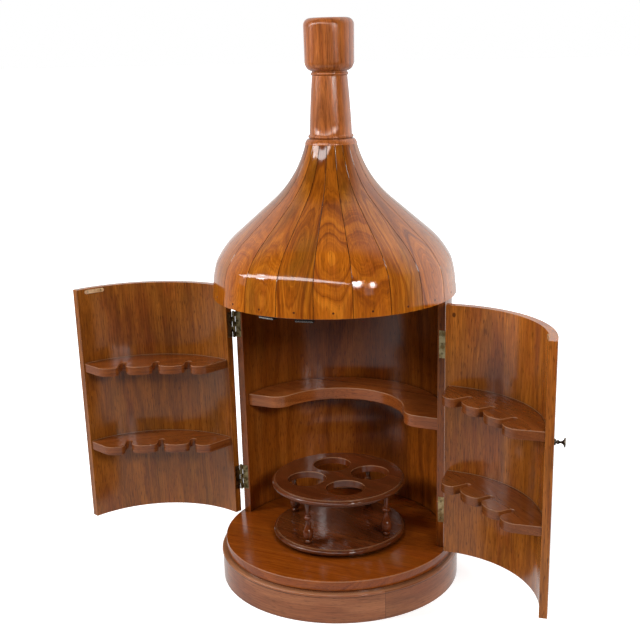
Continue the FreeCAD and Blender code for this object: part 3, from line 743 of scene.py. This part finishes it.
    def plastic(self, finish: PlasticFinish) -> Material:
        """Make one moulded plastic with a fine speckle.

        Args:
            finish: the plastic's look.

        Returns:
            The material.
        """
        material, g, surface = begin_surface(finish.name)
        speck = g.remap(g.noise(g.coordinates(), 900), 0.3, 0.7, 0.85, 1.1, smooth=False)
        g.fill(surface, Base_Color=g.dim(finish.colour, speck),
               Roughness=finish.roughness)
        return material


@dataclass(frozen=True)
class Lamp:
    """One soft light, hung round the object and aimed at it.

    Its size is in metres, or in degrees where it glows for reflections only.
    """

    name: str
    azimuth: float
    elevation: float
    distance: float
    width: float
    height: float
    power: float
    aim: float = 0.75
    mirrored: bool = False


def direction(azimuth: float, elevation: float) -> Vector:
    """Return the direction at an azimuth from the front and an elevation."""
    a, e = math.radians(azimuth), math.radians(elevation)
    return Vector((math.sin(a) * math.cos(e), -math.cos(a) * math.cos(e), math.sin(e)))


def glow_place(azimuth: float, elevation: float) -> Vector:
    """Return the place in a direction where the glows hang."""
    return Vector(GLOW_MIDDLE) + direction(azimuth, elevation) * GLOW_REACH


@dataclass
class Studio:
    """The camera, the lamps, the surround and the floor."""

    camera_place: Point = (1.0994, -2.2834, 1.2831)
    heading: float = math.radians(26.49)
    pitch: float = math.radians(16.89)
    roll: float = -0.0262
    lens: float = 60.54
    shift: tuple[float, float] = (-0.0035, 0.0873)
    lamps: tuple[Lamp, ...] = (
        Lamp("key_left", -53, 26, 3.2, 0.7, 0.7, 70),
        Lamp("key_right", 51, 22, 3.2, 0.7, 0.7, 52),
        Lamp("front", -8, 38, 3.2, 2, 0.6, 22),
        Lamp("tall_left", -66, 2, 3, 0.5, 0.7, 0.7, 1.25, True),
        Lamp("tall_right", 56, 2, 3, 0.4, 0.7, 0.9, 1.25, True),
    )
    glows: tuple[Lamp, ...] = (
        Lamp("lamp_0", -53.2, 25.5, GLOW_REACH, 8, 9, 75),
        Lamp("lamp_1", 50.4, 21, GLOW_REACH, 5.4, 7.4, 66),
        Lamp("lamp_2", 64.4, 15.5, GLOW_REACH, 3, 4.4, 50),
    )

    def build(self) -> None:
        """Set up everything that isn't part of the object."""
        self._camera()
        self._world()
        for lamp in self.lamps:
            self._hang(lamp)
        self._ribbon()
        for lamp in self.glows:
            self._glow(lamp)
        self._floor()

    def _camera(self) -> None:
        """Put the camera where the photograph was taken from."""
        data = bpy.data.cameras.new("camera")
        data.lens = self.lens
        data.sensor_width = 36
        data.shift_x, data.shift_y = self.shift
        data.clip_end = 200
        camera = placed("camera", data)
        camera.matrix_world = Matrix.Translation(self.camera_place)
        for turn, axis in ((self.heading, "Z"), (math.pi / 2 - self.pitch, "X"),
                           (self.roll, "Z")):
            camera.matrix_world @= Matrix.Rotation(turn, 4, axis)
        bpy.context.scene.camera = camera

    def _world(self) -> None:
        """Surround the object with white behind it and a dim room before it.

        The camera sees plain white, and other rays see the room. Matt
        surfaces gather a little more of its light.
        """
        world = bpy.data.worlds.new("surround")
        g = begin(world)
        x, y, _ = g.split(g.coordinates("Generated"))
        path = g.node("LightPath").outputs
        glow = g.add(self._room(g, x, y), g.times(path["Is Diffuse Ray"], 0.05))
        colour = g.mix(path["Is Camera Ray"], g.join(glow, glow, glow), (1, 1, 1))
        back = g.node("Background")
        g.fill(back, Color=colour)
        g.fill(g.node("OutputWorld"), Surface=back.outputs[0])
        bpy.context.scene.world = world
        bpy.context.scene.view_settings.view_transform = "Standard"

    def _room(self, g: Graph, x: Socket, y: Socket) -> Socket:
        """Return how strongly the room shines from a direction's x and y.

        It is dim on the camera's side, white on the far side, and strongest
        on the right.

        Args:
            g: the graph of the world or the floor.
            x: the direction's level part to the right.
            y: its level part to the back.

        Returns:
            The strength.
        """
        away = g.add(g.times(x, AWAY[0]), g.times(y, AWAY[1]))
        return g.times(g.remap(away, -0.2, 0.45, 0.02, 1),
                       g.remap(x, -0.2, 0.6, 0.95, 1.9))

    def _hang(self, lamp: Lamp) -> None:
        """Hang one soft box and aim it at the object's middle.

        Args:
            lamp: the lamp.
        """
        data = bpy.data.lights.new(lamp.name, "AREA")
        data.shape = "RECTANGLE"
        data.size, data.size_y = lamp.width, lamp.height
        data.energy = lamp.power
        made = placed(lamp.name, data)
        aim = Vector((0, 0, lamp.aim))
        place = aim + direction(lamp.azimuth, lamp.elevation) * lamp.distance
        made.location = place
        made.rotation_euler = (place - aim).to_track_quat("Z", "Y").to_euler()
        made.visible_glossy = lamp.mirrored
        made.visible_diffuse = not lamp.mirrored

    def _shining(self, mesh: Mesh, strength: float,
                 place: Matrix = Matrix.Identity(4), rim: float = 0) -> None:
        """Add a mesh that shines, and that only reflections show.

        Args:
            mesh: the mesh.
            strength: how strongly it shines.
            place: where it hangs.
            rim: where the shine has faded out from its middle, or 0 for none.
        """
        material = bpy.data.materials.new(mesh.name)
        g = begin(material)
        shine = g.node("Emission")
        g.fill(shine, Strength=strength if rim == 0 else g.remap(
            g.length(g.coordinates()), rim * 0.15, rim, strength, 0))
        g.fill(g.node("OutputMaterial"), Surface=shine.outputs[0])
        mesh.materials.append(material)
        made = placed(mesh.name, mesh)
        made.matrix_world = place
        made.visible_camera = made.visible_diffuse = made.visible_shadow = False

    def _ribbon(self) -> None:
        """Hang a thin lit strip, tapered at its ends."""
        azimuths = np.linspace(RIBBON_AZIMUTHS[0], RIBBON_AZIMUTHS[-1], RIBBON_STEPS)
        rises = np.interp(azimuths, RIBBON_AZIMUTHS, RIBBON_RISES)
        points = []
        for azimuth, rise in zip(azimuths, rises):
            half = RIBBON_HALF * min(1, (RIBBON_AZIMUTHS[-1] - azimuth) / 20,
                                     (azimuth - RIBBON_AZIMUTHS[0]) / 10)
            points += [tuple(glow_place(azimuth, rise + lift)) for lift in (-half, half)]
        faces = [(n, n + 1, n + 3, n + 2) for n in range(0, len(points) - 2, 2)]
        mesh = bpy.data.meshes.new("ribbon")
        mesh.from_pydata(points, [], faces)
        self._shining(mesh, RIBBON_STRENGTH)

    def _glow(self, lamp: Lamp) -> None:
        """Hang one small lamp that fades out towards its rim.

        Args:
            lamp: its place, its radii in degrees and its strength.
        """
        mesh = bpy.data.meshes.new(lamp.name)
        work = bmesh.new()
        bmesh.ops.create_circle(work, cap_ends=True, segments=24, radius=1)
        work.to_mesh(mesh)
        work.free()
        place = glow_place(lamp.azimuth, lamp.elevation)
        turn = (Vector(GLOW_MIDDLE) - place).to_track_quat("Z", "Y").to_matrix().to_4x4()
        unit = math.radians(1) * lamp.distance
        size = Matrix.Diagonal((lamp.width * unit, lamp.height * unit, 1, 1))
        self._shining(mesh, lamp.power, Matrix.Translation(place) @ turn @ size, 1)

    def _floor(self) -> None:
        """Lay a plain white floor that ends in a dim room before the object.

        The camera sees it as white, with the object's soft shadow close to
        its foot. Other rays see it grow dark towards the camera, and far off
        shine as the room does there, so no horizon shows in a reflection.
        """
        mesh = bpy.data.meshes.new("floor")
        mesh.from_pydata([(x * FLOOR_REACH, y * FLOOR_REACH, 0)
                          for x, y in ((-1, -1), (1, -1), (1, 1), (-1, 1))],
                         [], [(0, 1, 2, 3)])
        floor = placed("floor", mesh)
        floor.location.z = -FLOOR_DROP
        material, g, surface = begin_surface("floor")
        seen = g.node("LightPath").outputs["Is Camera Ray"]
        x, y, _ = g.split(g.coordinates())
        near = g.less(g.times(x, math.sin(self.heading)),
                      g.times(y, math.cos(self.heading)))
        lit = g.remap(near, 0.5, 2.3, 0.70, 0.02)
        radius = g.length(g.join(x, y, 0))
        room = self._room(g, g.over(x, radius), g.over(y, radius))
        share = g.remap(radius, 1.2, 6)
        lit = g.add(g.times(lit, g.less(1, share)), g.times(room, share))
        shown = g.remap(radius, 0.45, 1.3, 0.55, 1)
        shine = g.add(g.times(seen, shown), g.times(g.less(1, seen), lit))
        g.fill(surface, Roughness=1, Specular_IOR_Level=0, Emission_Color=(1, 1, 1),
               Base_Color=g.mix(seen, (0.02, 0.02, 0.02), (0.8, 0.8, 0.8)),
               Emission_Strength=shine)
        mesh.materials.append(material)


class Finishes(Materials):
    """The finishes of the whole cabinet, made once."""

    def __init__(self) -> None:
        super().__init__()
        self.brass = self.metal(AGED_BRASS)
        self.worn_brass = self.metal(WORN_BRASS)
        self.pale_brass = self.metal(PALE_BRASS)
        self.steel = self.metal(BRIGHT_STEEL)
        self.bronze = self.metal(BRONZE)
        self.black = self.plastic(CATCH_BLACK)
        self.rubber = self.plastic(WASHER_PLASTIC)


@dataclass
class Workshop:
    """Makes a sub-assembly's pieces from the frame's nodes and from profiles."""

    finishes: Finishes

    def _made(self, name: str, work: bmesh.types.BMesh, limit: float,
              material: Material) -> Object:
        """Place a worked mesh as a piece, and report it.

        Args:
            name: the piece's name.
            work: its shape.
            limit: the bend in degrees from which an edge is sharp.
            material: what it is made of.

        Returns:
            The piece.
        """
        for face in work.faces:
            face.smooth = True
        for edge in work.edges:
            edge.smooth = edge.calc_face_angle(0) < math.radians(limit)
        mesh = bpy.data.meshes.new(name)
        work.to_mesh(mesh)
        work.free()
        mesh.materials.append(material)
        log.info("%s in %s", name, material.name)
        return placed(name, mesh)

    def finish(self, material: Material, *nodes: str, bevel: float = 0) -> None:
        """Give each node a copy with smooth sides, which stands for the node.

        Args:
            material: what the nodes are made of.
            nodes: the nodes' names.
            bevel: the width of the eased edges, in metres, or 0 for none.
        """
        for node in nodes:
            source = frame["nodes"][node]
            work = bmesh.new()
            work.from_mesh(source.data)
            bmesh.ops.remove_doubles(work, verts=work.verts, dist=2e-6)
            bmesh.ops.dissolve_limit(work, angle_limit=math.radians(0.05),
                                     verts=work.verts, edges=work.edges)
            piece = self._made(node + "_piece", work, 32, material)
            if bevel > 0:
                ease = piece.modifiers.new("ease", "BEVEL")
                ease.width = bevel
                ease.segments = 2
                ease.limit_method = "ANGLE"
                ease.angle_limit = math.radians(40)
                ease.harden_normals = True
            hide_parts(node)
            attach(piece, source["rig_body"])

    def add(self, name: str, shape: Shape, material: Material, place: Matrix,
            body: str, slot: str) -> None:
        """Add a small piece that the CAD model leaves out.

        Args:
            name: the piece's name.
            shape: its corners, in its own coordinates, and its faces.
            material: what it is made of.
            place: carries its coordinates into the row frame.
            body: the CAD body that it rides on.
            slot: the record's material slot; not used.
        """
        work = bmesh.new()
        corners = [work.verts.new(place @ Vector(point)) for point in shape[0]]
        for face in shape[1]:
            work.faces.new([corners[n] for n in face])
        bmesh.ops.recalc_face_normals(work, faces=work.faces)
        piece = self._made(name, work, 35, material)
        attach(piece, body)


@dataclass(frozen=True)
class Screw:
    """A slotted countersunk screw head, seen from above."""

    radius: float
    rise: float
    slot_turn: float

    def surface(self) -> Shape:
        """Return the head as a grid of rings and spokes.

        The height is a shallow crown, the rise times one less three quarters
        of the squared share of the radius. Within the slot's half-width of
        its middle line, a point drops by the slot's depth.

        Returns:
            The points and the faces.
        """
        rings, spokes = 9, 40
        slot_half, slot_depth = self.radius * 0.17, self.rise * 1.1
        shares = np.linspace(0, 1, rings + 1)[1:]
        angles = np.arange(spokes) * 2 * np.pi / spokes
        share, angle = np.meshgrid(shares, angles, indexing="ij")
        x = self.radius * share * np.cos(angle)
        y = self.radius * share * np.sin(angle)
        off = np.abs(x * np.sin(self.slot_turn) - y * np.cos(self.slot_turn))
        z = self.rise * (1 - 0.75 * share ** 2) - slot_depth * (off < slot_half)
        points = np.stack([x.ravel(), y.ravel(), z.ravel()], axis=1)
        skirt = points[-spokes:].copy()
        skirt[:, 2] = -self.rise
        middle = np.array([[0, 0, self.rise - slot_depth]])
        points = np.concatenate([points, skirt, middle])
        pairs = [(n, (n + 1) % spokes) for n in range(spokes)]
        faces = [[a + n, a + n + spokes, a + m + spokes, a + m]
                 for a in range(0, rings * spokes, spokes) for n, m in pairs]
        faces += [[len(points) - 1, n, m] for n, m in pairs]
        return points, faces + [[rings * spokes + n for n in range(spokes)]]


@dataclass(frozen=True)
class Tablet:
    """A small flat plate with rounded corners and an eased rim."""

    length: float
    height: float
    thickness: float
    corner: float

    def surface(self) -> Shape:
        """Return the plate as stacked outlines and two end faces.

        Each outline goes round the four corners, a quarter circle at each.
        The second outline is the first, raised by most of the thickness, and
        the third lies at the full thickness, drawn in by the easing.

        Returns:
            The points and the faces.
        """
        steps = 9
        ease = min(self.thickness, self.corner) * 0.4
        rings = []
        for inset, level in ((0, 0), (0, self.thickness - ease), (ease, self.thickness)):
            reach = self.corner - inset
            for quarter, (right, up) in enumerate(((1, 1), (-1, 1), (-1, -1), (1, -1))):
                turn = (np.arange(steps) / (steps - 1) + quarter) * np.pi / 2
                x = right * (self.length / 2 - self.corner) + reach * np.cos(turn)
                y = up * (self.height / 2 - self.corner) + reach * np.sin(turn)
                rings.append(np.stack([x, y, np.full(steps, level)], axis=1))
        count = 4 * steps
        faces = [[k * count + n, k * count + (n + 1) % count,
                  (k + 1) * count + (n + 1) % count, (k + 1) * count + n]
                 for k in range(2) for n in range(count)]
        faces += [list(range(count))[::-1], [2 * count + n for n in range(count)]]
        return np.concatenate(rings), faces


AGED_BRASS = MetalFinish(
    "aged_brass", srgb(150, 134, 96), srgb(78, 64, 42), 0.35, 90)
WORN_BRASS = MetalFinish(
    "worn_brass", srgb(214, 196, 150), srgb(150, 124, 80), 0.35, 60)
PALE_BRASS = MetalFinish(
    "pale_brass", srgb(255, 226, 180), srgb(226, 180, 130), 0.5, 60)
BRIGHT_STEEL = MetalFinish(
    "bright_steel", srgb(225, 225, 222), srgb(170, 168, 160), 0.25, 60)
BRONZE = MetalFinish("bronze", srgb(124, 110, 92), srgb(52, 43, 35), 0.3, 120)
CATCH_BLACK = PlasticFinish("catch_black", srgb(30, 24, 20), 0.5)
WASHER_PLASTIC = PlasticFinish("washer_plastic", srgb(60, 54, 48), 0.6)
PLINTH_WOOD = WoodFinish(
    "plinth_wood", srgb(112, 60, 32), srgb(144, 84, 48), srgb(166, 104, 66),
    srgb(124, 82, 48), ring_spacing=0.006, depth=0.03, tilt=0.01, warp=0.03,
    lines=0.3, roughness=0.14, fibre=0.26, red_share=0.35, wear_and_sheen=0.3)
FLOOR_WOOD = WoodFinish(
    "floor_wood", srgb(112, 48, 8), srgb(142, 68, 14), srgb(162, 84, 24),
    srgb(112, 66, 18), tilt=0.02, warp=0.05)
CASE_WOOD = WoodFinish(
    "case_wood", srgb(88, 40, 8), srgb(130, 66, 14), srgb(156, 86, 28),
    srgb(116, 74, 28), ring_spacing=0.009, depth=0.12, warp=0.08, contrast=0.9,
    lines=0.3, fibre=0.3, pores=0.6, wear_and_sheen=0.3)
DOOR_WOOD = WoodFinish(
    "door_wood", srgb(104, 52, 12), srgb(146, 82, 24), srgb(170, 104, 40),
    srgb(108, 72, 30), ring_spacing=0.008, depth=0.10, warp=0.08, lines=0.25,
    roughness=0.16, fibre=0.38, pores=0.65, red_share=0.5, wear_and_sheen=0.7)
RACK_WOOD = WoodFinish(
    "rack_wood", srgb(96, 46, 16), srgb(134, 70, 28), srgb(156, 90, 42),
    srgb(98, 60, 28), ring_spacing=0.008, depth=0.08, roughness=0.18,
    red_share=0.12)
DOME_WOOD = WoodFinish(
    "dome_wood", srgb(106, 46, 8), srgb(166, 88, 16), srgb(200, 118, 30),
    srgb(116, 84, 24), ring_spacing=0.0045, tilt=0.04, depth=0.03, warp=0.07,
    contrast=0.88, lines=0.3, roughness=0.085, bump=0.04, fibre=0.3,
    red_share=0.45, wear_and_sheen=0.1, olive_share=0.45)
TURNED_WOOD = WoodFinish(
    "turned_wood", srgb(118, 54, 20), srgb(174, 96, 42), srgb(204, 122, 58),
    srgb(130, 82, 36), ring_spacing=0.006, tilt=0.04, depth=0.02, warp=0.03,
    contrast=1, lines=0.5, roughness=0.24, bump=0.05, fibre=0.34,
    red_share=0.4, wear_and_sheen=0.3)
CAROUSEL_WOOD = WoodFinish(
    "carousel_wood", srgb(60, 25, 9), srgb(90, 42, 17), srgb(112, 60, 29),
    srgb(76, 46, 22), contrast=0.75, roughness=0.1)
PLUG_WOOD = WoodFinish(
    "plug_wood", srgb(70, 34, 12), srgb(92, 46, 16), srgb(110, 58, 22),
    srgb(60, 36, 16), ring_spacing=0.003, tilt=0.08, depth=0.05, warp=0.05,
    contrast=1, lines=0.5, roughness=0.2, wear_and_sheen=0)
KNOTS = {LEFT: (), RIGHT: (Spot(0.392, 0.6976, 0.005, 0.007, 0.8),)}


@dataclass
class Base(Workshop):
    """The plinth and the floor disc."""

    hoop_top: float = 66.2 * MM
    bead_middle: float = 73.6 * MM
    bead_top: float = 77.2 * MM
    floor_foot: float = 78.5 * MM
    floor_rim: float = 101.4 * MM

    def build(self) -> None:
        """Finish the plinth's rings and the floor."""
        wood = self.finishes.wood
        # Dark bands paint shade in the grooves between the rings and under the floor
        # disc; pale bands paint highlights on the bead and on the floor's top edge.
        hoop = wood(PLINTH_WOOD, Grain.HOOP, seed=2, turn=math.pi / 2, bands=(
            Band(self.hoop_top, 0.85, pale=False), Band(self.bead_top, 0.85, pale=False),
            Band(self.bead_middle, 0.3)))
        self.finish(hoop, "plinth_ring", "plinth_bead")
        self.finish(wood(FLOOR_WOOD, Grain.PLANK, seed=5, bands=(
            Band(self.floor_foot, 0.85, 1.6 * MM, False),
            Band(self.floor_rim, 0.4, 1.5 * MM))), "floor_disc")


@dataclass
class Carcass(Workshop):
    """The curved back, the top board and the shelf."""

    wall_ease: float = 0.8 * MM
    board_ease: float = 1.4 * MM
    front_line: float = 1.3 * MM

    def build(self) -> None:
        """Finish the back, painted lighter low down, and the two boards, painted lighter,
        the shelf with a pale front edge as a painted highlight.
        """
        wood = self.finishes.wood
        # The back is painted lighter towards its foot, as painted light.
        wall = wood(CASE_WOOD, Grain.WALL, seed=3, turn=-math.pi / 2,
                    painted_light_ramp=(0.12, 0.40, 1.4, 1))
        self.finish(wall, "back_shell", bevel=self.wall_ease)
        top = max(corner.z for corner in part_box("shelf"))
        # The shelf and top board get a lighter copy of the rack wood as painted light and
        # reflection, and a pale band along the shelf's front edge as a painted highlight.
        plank = wood(lighter(RACK_WOOD, 1.3), Grain.PLANK, "shelf_wood", seed=7,
                     bands=(Band(top - self.front_line, 0.6),))
        self.finish(plank, "top_board", "shelf", bevel=self.board_ease)


@dataclass
class Door(Workshop):
    """One curved door with its racks, hinges, strike and catch."""

    side: int
    hinge_heights: tuple[float, ...] = (169 * MM, 586 * MM)
    leaf_screws: tuple[float, ...] = (11 * MM, 33 * MM, 55 * MM)
    leaf_middle: float = 274 * MM
    leaf_face: float = 1.5 * MM
    leaf_screw_radius: float = 2.9 * MM
    latch_turn: float = math.radians(10.5)
    strike_screws: tuple[float, ...] = (-18 * MM, 18 * MM)
    strike_screw_radius: float = 2.7 * MM
    screw_rise: float = 0.35 * MM
    strike_face: float = 261.8 * MM
    strike_height: float = 711.5 * MM
    catch_face: float = 259.5 * MM
    catch_height: float = 714 * MM
    ease: float = 1 * MM
    strip: Tablet = Tablet(40 * MM, 3 * MM, 0.7 * MM, 1.2 * MM)
    strike_ease: float = 0.25 * MM
    catch_ease: float = 0.6 * MM

    @property
    def name(self) -> str:
        """Return the side's word in the names of nodes."""
        return "left" if self.side == LEFT else "right"

    def build(self) -> None:
        """Finish the door and everything on it."""
        wood, name, left = self.finishes.wood, self.name, self.side == LEFT
        turn = REST_TURN[self.side]
        # The right door's wood is painted lighter, and lighter still towards the top, as
        # painted light.
        wall = wood(lighter(DOOR_WOOD, 1 if left else 1.18), Grain.WALL,
                    name + "_door_wood", seed=4 + self.side * 2.3,
                    centre=tuple(door_matrix(self.side).translation),
                    turn=math.pi / 2 - turn, marks=KNOTS[self.side],
                    bands=self._rack_lines(), painted_light_ramp=() if left else (0.50, 0.70, 1, 1.25))
        self.finish(wall, name + "_door", bevel=self.ease)
        # Pale bands along the racks' top edges are painted highlights.
        plank = wood(lighter(RACK_WOOD, 0.88 if left else 0.8), Grain.PLANK,
                     name + "_rack_wood", seed=9 + self.side,
                     turn=math.radians(45 if left else 135) - turn,
                     bands=[Band(top - 1.2 * MM, 0.4, 1.1 * MM)
                            for top in self._rack_tops()])
        self.finish(plank, name + "_upper_rack", name + "_lower_rack", bevel=self.ease)
        self.finish(self.finishes.brass if left else self.finishes.worn_brass,
                    name + "_hinge_shell_leaves", name + "_hinge_door_leaves",
                    name + "_hinge_pins")
        self.finish(self.finishes.pale_brass, name + "_strike", bevel=self.strike_ease)
        self.finish(self.finishes.black, name + "_catch", bevel=self.catch_ease)
        self._screws()
        self._latch()

    def _rack_lines(self) -> list[Band]:
        """Work out the pale lines, painted highlights, that run on the door along the
        racks' backs.

        Returns:
            A band for each rack.
        """
        ends = sorted(self.side * end for end in RACK_SPAN)
        return [Band(top + 0.4 * MM, 0.55, 1.2 * MM, True, *ends, INNER_RADIUS + 3 * MM)
                for top in self._rack_tops()]

    def _rack_tops(self) -> list[float]:
        """Return the heights of the racks' top faces, in metres."""
        return [max(corner.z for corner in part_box(f"{self.name}_{level}_rack"))
                for level in ("lower", "upper")]

    def _latch(self) -> None:
        """Screw the strike to the door and put the bright strip on the catch."""
        out = Matrix.Rotation(self.side * self.latch_turn, 4, "Z")
        shape = Screw(self.strike_screw_radius, self.screw_rise, 0.6).surface()
        for n, along in enumerate(self.strike_screws):
            out_to = math.sqrt(self.strike_face ** 2 - along ** 2)
            face = Vector((along, -out_to, self.strike_height))
            place = door_matrix(self.side) @ out @ Matrix.Translation(face) \
                @ Matrix.Rotation(-math.pi / 2, 4, "X")
            self.add(f"{self.name}_strike_screw_{n}", shape,
                     self.finishes.worn_brass, place, self.name + "_door", "aged_brass")
        place = out @ Matrix.Translation((0, -self.catch_face, self.catch_height)) \
            @ Matrix.Rotation(math.pi / 2, 4, "X")
        self.add(self.name + "_catch_strip", self.strip.surface(),
                 self.finishes.steel, place, "case", "aged_brass")

    def _screws(self) -> None:
        """Screw the hinge leaves down, on the shell and on the shut door's edge."""
        for n, base in enumerate(self.hinge_heights):
            for m, lift in enumerate(self.leaf_screws):
                shape = Screw(self.leaf_screw_radius, self.screw_rise,
                              0.7 + 1.3 * m + n).surface()
                for kind, way, body, carry in (
                        ("shell", 1, "case", Matrix.Identity(4)),
                        ("door", -1, self.name + "_door", door_matrix(self.side))):
                    place = carry @ Matrix.Translation(
                        (self.side * self.leaf_middle, way * self.leaf_face,
                         base + lift)) \
                        @ Matrix.Rotation(way * math.pi / 2, 4, "X")
                    self.add(f"{self.name}_hinge_{kind}_screw_{n}_{m}",
                             shape, self.finishes.brass, place, body, "aged_brass")


class Knob(Workshop):
    """The turned knob on the right door."""

    def build(self) -> None:
        """Finish the rose, the stem and the head."""
        self.finish(self.finishes.bronze, "knob_rose", "knob_stem", "knob_head")


@dataclass
class Dome(Workshop):
    """The staved dome with its neck and stopper."""

    plug: Tablet = Tablet(5 * MM, 5 * MM, 0.5 * MM, 2.49 * MM)
    plug_face: float = 289.7 * MM
    plug_height: float = 740.5 * MM
    plug_lean: float = math.radians(83)

    def build(self) -> None:
        """Finish the staves and the turned pieces over them."""
        wood = self.finishes.wood
        # The staves are painted lighter low down and darker near the neck, as painted
        # light and shade.
        stave = wood(DOME_WOOD, Grain.STAVE, seed=1, painted_light_ramp=(0.75, 1.02, 1.14, 0.80))
        self.finish(stave, *(f"dome_stave_{n + 1:02d}" for n in range(STAVE_COUNT)))
        self._plugs()
        self.finish(wood(TURNED_WOOD, Grain.TURNED, seed=2), "neck", "stopper")

    def _plugs(self) -> None:
        """Set one dark plug near the foot of each stave."""
        dark = self.finishes.wood(PLUG_WOOD, Grain.TURNED)
        shape = self.plug.surface()
        for n in range(STAVE_COUNT):
            turn = STAVE_TURN + (n + 0.5) * 2 * math.pi / STAVE_COUNT
            place = Matrix.Rotation(turn, 4, "Z") @ Matrix.Translation(
                (0, -self.plug_face, self.plug_height)) \
                @ Matrix.Rotation(self.plug_lean, 4, "X")
            self.add(f"stave_plug_{n + 1:02d}", shape, dark, place, "case", "dome_wood")


@dataclass
class Carousel(Workshop):
    """The turning bottle stand with its washer and pin."""

    lower_rim: float = 123 * MM
    upper_rim: float = 251.5 * MM

    def build(self) -> None:
        """Finish the boards, the spindles, the washer and the pin."""
        wood = self.finishes.wood
        # Pale bands on the discs' rims are painted highlights.
        board = wood(CAROUSEL_WOOD, Grain.PLANK, seed=1, turn=0.3, bands=(
            Band(self.lower_rim, 0.5), Band(self.upper_rim, 0.5)))
        self.finish(board, "carousel_lower_disc", "carousel_upper_disc")
        self.finish(wood(CAROUSEL_WOOD, Grain.TURNED, "spindle_wood", seed=4),
                    *("carousel_spindle_" + place
                      for place in ("front", "right", "back", "left")))
        self.finish(self.finishes.rubber, "carousel_washer")
        self.finish(self.finishes.bronze, "carousel_pivot")


class Cabinet:
    """The whole object, put together from its sub-assemblies."""

    def build(self) -> None:
        """Build every sub-assembly with the same finishes."""
        made = Finishes()
        for part in (Base(made), Carcass(made), Door(made, LEFT), Door(made, RIGHT),
                     Knob(made), Dome(made), Carousel(made)):
            part.build()


def main() -> None:
    """Build the studio and the cabinet."""
    logging.basicConfig(level=logging.INFO)
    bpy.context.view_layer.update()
    Studio().build()
    Cabinet().build()


if __name__ == "__main__":
    main()
